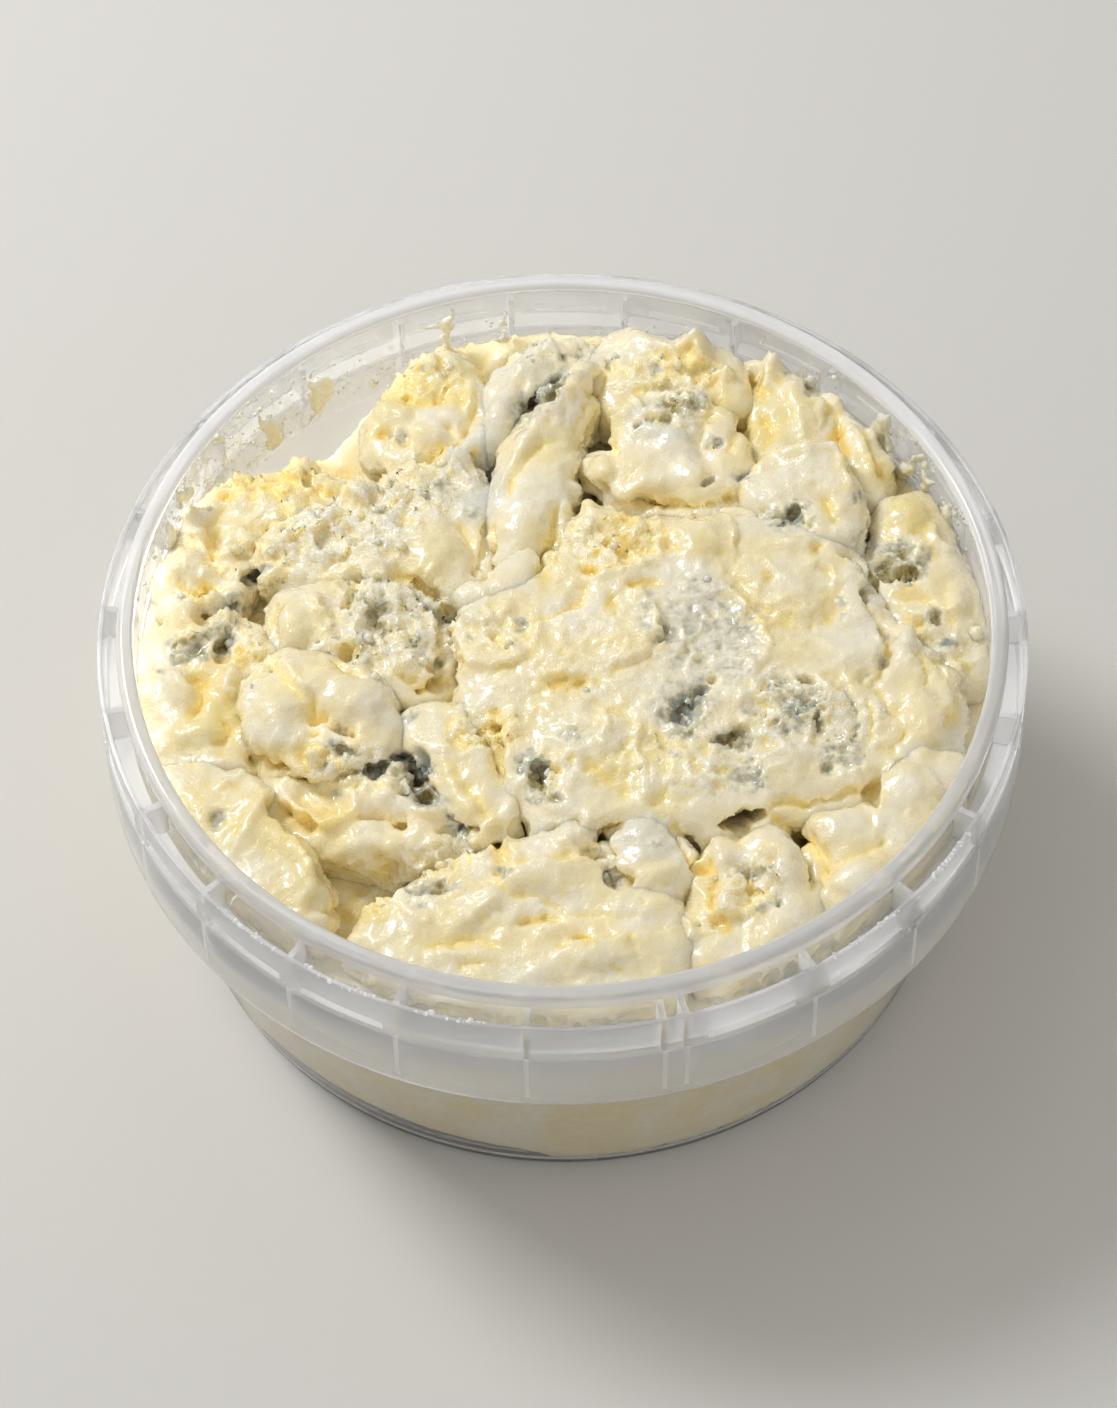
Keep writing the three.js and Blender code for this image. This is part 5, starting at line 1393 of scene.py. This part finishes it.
def paste_group():
    """Colour, roughness and height of the paste, from the stored stains, the painted hollow shade and some
    noise.
    """
    group = bpy.data.node_groups.new("paste", "ShaderNodeTree")
    for name, default in {"Yellow and shade": 1.0, "Mould": 1.0}.items():
        socket = group.interface.new_socket(name, in_out="INPUT", socket_type="NodeSocketFloat")
        socket.default_value = default
    for name, kind in {"Color": "Color", "Roughness": "Float", "Height": "Float"}.items():
        group.interface.new_socket(name, in_out="OUTPUT", socket_type="NodeSocket" + kind)
    given = group.nodes.new("NodeGroupInput").outputs
    out = group.nodes.new("NodeGroupOutput").inputs
    place = add(group, "ShaderNodeTexCoord").outputs["Object"]
    stain = {
        name: add(group, "ShaderNodeAttribute", attribute_name="paste_" + name).outputs["Fac"]
        for name in ("mould", "yellow_and_shade", "grain", "pale", "hollow_shade")
    }

    def cloud(size, detail=2.0):
        """Noise around 0.5, with a size in millimetres."""
        settings = {"Vector": place, "Scale": 1 / (size * MM), "Detail": detail}
        return add(group, "ShaderNodeTexNoise", settings).outputs["Fac"]

    def weighed(value, factor, other):
        """The value times a factor, plus another value."""
        return math_node(group, "MULTIPLY_ADD", value, factor, other)

    broad, middle, small = cloud(6, 1), cloud(1.7), cloud(0.8, 1)
    mixed = weighed(middle, 0.6, weighed(small, 0.4, -0.5))

    paste = blend_colour(group, step_up(group, broad, 0.3, 0.75), CREAM, IVORY)
    pale = step_up(group, weighed(mixed, 0.8, stain["pale"]), 0.25, 0.95)
    paste = blend_colour(group, pale, paste, PALE_PASTE)
    dotted = step_up(group, small, 0.62, 0.8)
    specks = math_node(group, "MULTIPLY", dotted, math_node(group, "MULTIPLY", pale, 0.35))
    paste = blend_colour(group, specks, paste, SPECK)

    # Painted shade: the hollows turn the paste towards the soft and deep yellows below.
    hollow_shade = step_up(group, stain["hollow_shade"], 0.48, 0.9)
    deep_yellow_and_shade = weighed(hollow_shade, 0.7, weighed(mixed, 0.8, stain["yellow_and_shade"]))
    deep_yellow_and_shade = math_node(group, "MULTIPLY", deep_yellow_and_shade, given["Yellow and shade"])
    paste = blend_colour(group, step_up(group, deep_yellow_and_shade, 0.05, 0.8), paste, SOFT_YELLOW)
    paste = blend_colour(group, step_up(group, deep_yellow_and_shade, 0.7, 1.6), paste, DEEP_YELLOW)

    # Painted shade: the hollows push the mould towards its darker tones, and MOULD_DARK is reached mostly in
    # them.
    blue = weighed(stain["mould"], given["Mould"], weighed(mixed, 2.6, weighed(stain["hollow_shade"], 0.5, -0.32)))
    touched = step_up(group, stain["mould"], 0.03, 0.25)
    deeper = blend_colour(group, step_up(group, broad, 0.44, 0.56), MOULD_OLIVE, MOULD_SLATE)
    for start, end, tone in (
        (0.0, 0.35, MOULD_HALO), (0.28, 0.6, MOULD_LIGHT), (0.55, 0.95, deeper), (0.95, 1.35, MOULD_DARK),
    ):
        share = math_node(group, "MULTIPLY", step_up(group, blue, start, end), touched)
        paste = blend_colour(group, share, paste, tone)
    group.links.new(paste, out["Color"])

    rough = weighed(step_up(group, middle, 0.4, 0.6), 0.2, 0.14)
    rough = weighed(stain["grain"], 0.1, rough)
    group.links.new(weighed(stain["mould"], 0.15, rough), out["Roughness"])

    wrinkles = math_node(group, "ABSOLUTE", math_node(group, "SUBTRACT", cloud(0.9), 0.5))
    height = weighed(wrinkles, -1.1, math_node(group, "MULTIPLY", cloud(0.28, 1), 0.8))
    height = math_node(group, "MULTIPLY", height, weighed(stain["grain"], 0.85, 0.4))
    group.links.new(height, out["Height"])
    return group


PASTE = paste_group()
print("nodes in the paste group:", len(PASTE.nodes))

# %% Cheese materials
BUMP_DEPTH = 0.4 * MM
GLOW_REACH = 3 * MM
GLOW_TINT = (1.0, 0.74, 0.3)     # how far red, green and blue go, as shares of the reach


def cheese_material(name, yellow_and_shade_gain, mould, glow=0.7):
    material, tree, shader = new_material(name)
    paste = add(tree, "ShaderNodeGroup", {"Yellow and shade": yellow_and_shade_gain, "Mould": mould}, node_tree=PASTE)
    relief = {"Height": paste.outputs["Height"], "Strength": 0.8, "Distance": BUMP_DEPTH}
    shader.subsurface_method = "BURLEY"
    feed(tree, shader, {
        "Base Color": paste.outputs["Color"], "Roughness": paste.outputs["Roughness"],
        "Normal": add(tree, "ShaderNodeBump", relief).outputs["Normal"],
        "Coat Weight": 0.7, "Coat Roughness": 0.07, "IOR": 1.42,
        "Subsurface Weight": glow, "Subsurface Radius": GLOW_TINT, "Subsurface Scale": GLOW_REACH,
    })
    return material


CREAMY = cheese_material("creamy_cheese", 1.0, 1.0)
GRAINY = cheese_material("grainy_cheese", 0.6, 1.1)
SMEARED = cheese_material("smeared_cheese", 0.2, 0.0, 0.2)
GRAINY_NODES = [
    "cheese_" + name for name in ("upper_chunk", "grainy_left", "upper_left", "back_middle", "crumbly_left")
]
for node, lump in lumps.items():
    lump.data.materials.append(GRAINY if node in GRAINY_NODES else CREAMY)
bed.data.materials.append(CREAMY)
for piece, pale, material in ((drops, 0.8, SMEARED), (specks, 0.8, SMEARED), (grains, 0.3, CREAMY)):
    set_value(piece, "paste_pale", np.full(len(piece.data.vertices), pale))
    piece.data.materials.append(material)
print("cheese materials:", CREAMY.name, GRAINY.name)

# %% Film
STREAK_STRETCH = 0.18
STREAKS_PER_METRE = 900.0
THICKEST_VEIL = 0.42


def film_material():
    """A smear so thin that it only veils what lies behind, in uneven streaks."""
    material, tree, shader = new_material("thin_smear")
    place = add(tree, "ShaderNodeTexCoord").outputs["Object"]
    streaks = add(tree, "ShaderNodeMapping", {"Vector": place, "Scale": (1, 1, STREAK_STRETCH)}).outputs[0]
    cloud = {"Vector": streaks, "Scale": STREAKS_PER_METRE, "Detail": 3.0}
    cloud = add(tree, "ShaderNodeTexNoise", cloud).outputs["Fac"]
    veil = add(tree, "ShaderNodeMapRange", {0: cloud, 1: 0.45, 2: 0.72, 3: 0.0, 4: THICKEST_VEIL}).outputs[0]
    feed(tree, shader, {"Base Color": IVORY, "Roughness": 0.4, "Alpha": veil})
    return material


film.data.materials.append(film_material())
print("film:", film.data.materials[0].name)

# %% [markdown]
# ## Plastic
# Polypropylene scatters a little light. Where the wall is thin it is nearly clear, and in the thick bead and
# the collar, where the eye looks through several walls, it turns milky. Three materials give that: a clear
# one for the wall and the floor of the pot, a frosted one for the collar, and a cloudy one for the bead, the
# ribs and the lower edge of the skirt.

# %% Three plastics on one piece
PLASTICS = {"frosted_plastic": (0.72, 0.16), "clear_plastic": (0.91, 0.1), "cloudy_plastic": (0.46, 0.16)}
PLASTIC_TINT = (0.985, 0.985, 0.99, 1)
SHADOW_TINT = (0.92, 0.92, 0.92, 1)


def plastic_material(name, clearness, roughness):
    """Thin plastic. Shadow rays pass it, so that the lamps reach what is inside."""
    material, tree, shader = new_material(name)
    feed(tree, shader, {
        "Base Color": PLASTIC_TINT, "Roughness": roughness, "Transmission Weight": clearness, "IOR": 1.42,
    })
    shadow = add(tree, "ShaderNodeLightPath").outputs["Is Shadow Ray"]
    clear = add(tree, "ShaderNodeBsdfTransparent", {"Color": SHADOW_TINT})
    mix = add(tree, "ShaderNodeMixShader", {0: shadow, 1: shader.outputs[0], 2: clear.outputs[0]})
    feed(tree, tree.nodes["Material Output"], {"Surface": mix.outputs[0]})
    return material


def plastic_slot(face):
    """Which of the three plastics a face of the tub has, by where it lies: 0, 1 or 2."""
    middle = face.center / MM
    radius = math.hypot(middle.x, middle.y)
    sideways = abs(face.normal.y * middle.x - face.normal.x * middle.y) / max(radius, 1)
    bead = middle.z > BEAD_UNDERSIDE
    skirt_edge = radius > COLLAR_R - 1 and middle.z < SKIRT_BOTTOM + 0.3
    gusset_back = radius > COLLAR_R + 0.01
    rib = radius > WALL_TOP_R - 0.5 and middle.z > SKIRT_BOTTOM and sideways > 0.7
    if bead or skirt_edge or gusset_back or rib:
        return 2
    return 1 if radius < NECK_R + 0.05 and middle.z < BEAD_UNDERSIDE - 0.1 else 0


for name, (clearness, roughness) in PLASTICS.items():
    tub.data.materials.append(plastic_material(name, clearness, roughness))
for face in tub.data.polygons:
    face.material_index = plastic_slot(face)
torn.data.materials.append(tub.data.materials["cloudy_plastic"])
used = [face.material_index for face in tub.data.polygons]
print("frosted, clear and cloudy faces:", [used.count(slot) for slot in range(3)])

# %% [markdown]
# ## Floor and light
# On a pale floor the cheese keeps its own colours. A small lamp behind on the left stands in for a window: it
# gives the wet highlights and the soft shadow. A wide weak lamp in front and a dim warm sky open the shadows.

# %% Stage
FLOOR_GREY = srgb(222, 220, 216)
FLOOR_SIZE = 4
LIGHTS = {                       # place, size in metres, watts
    "window": ((-0.42, 0.32, 0.6), 0.22, 3.65),
    "fill": ((0.5, -0.6, 0.6), 0.8, 1.0),
}
LIT_POINT = Vector((0, 0, 0.03))
SKY = {"Color": (1.0, 0.98, 0.94, 1), "Strength": 0.39}


def make_stage():
    bpy.ops.object.select_all(action="DESELECT")
    bpy.ops.mesh.primitive_plane_add(size=FLOOR_SIZE, location=(0, 0, 0))
    floor = bpy.context.object
    floor.name = "floor"
    material, tree, shader = new_material("pale_floor")
    feed(tree, shader, {"Base Color": FLOOR_GREY, "Roughness": 0.8})
    floor.data.materials.append(material)


def add_light(name, place, size, power):
    bpy.ops.object.select_all(action="DESELECT")
    bpy.ops.object.light_add(type="AREA", location=place)
    light = bpy.context.object
    light.name = name
    light.data.size = size
    light.data.energy = power
    light.rotation_euler = (LIT_POINT - Vector(place)).to_track_quat("-Z", "Y").to_euler()


make_stage()
for name, light in LIGHTS.items():
    add_light(name, *light)
world = bpy.data.worlds.new("studio")
bpy.context.scene.world = world
world.use_nodes = True
feed(world.node_tree, world.node_tree.nodes["Background"], SKY)
bpy.context.scene.view_settings.view_transform = "Standard"
print("lights:", list(LIGHTS))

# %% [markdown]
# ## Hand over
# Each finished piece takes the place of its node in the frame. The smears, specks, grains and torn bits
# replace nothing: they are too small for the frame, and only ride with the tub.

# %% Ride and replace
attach(tub, "root")
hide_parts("tub")
for node, lump in lumps.items():
    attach(lump, "root")
    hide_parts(node)
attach(bed, "root")
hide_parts("cheese_bed")
for piece, slot in {
    drops: "cream_cheese", film: "cream_cheese", specks: "cream_cheese", grains: "veined_cheese",
    torn: "clear_plastic",
}.items():
    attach(piece, "root")
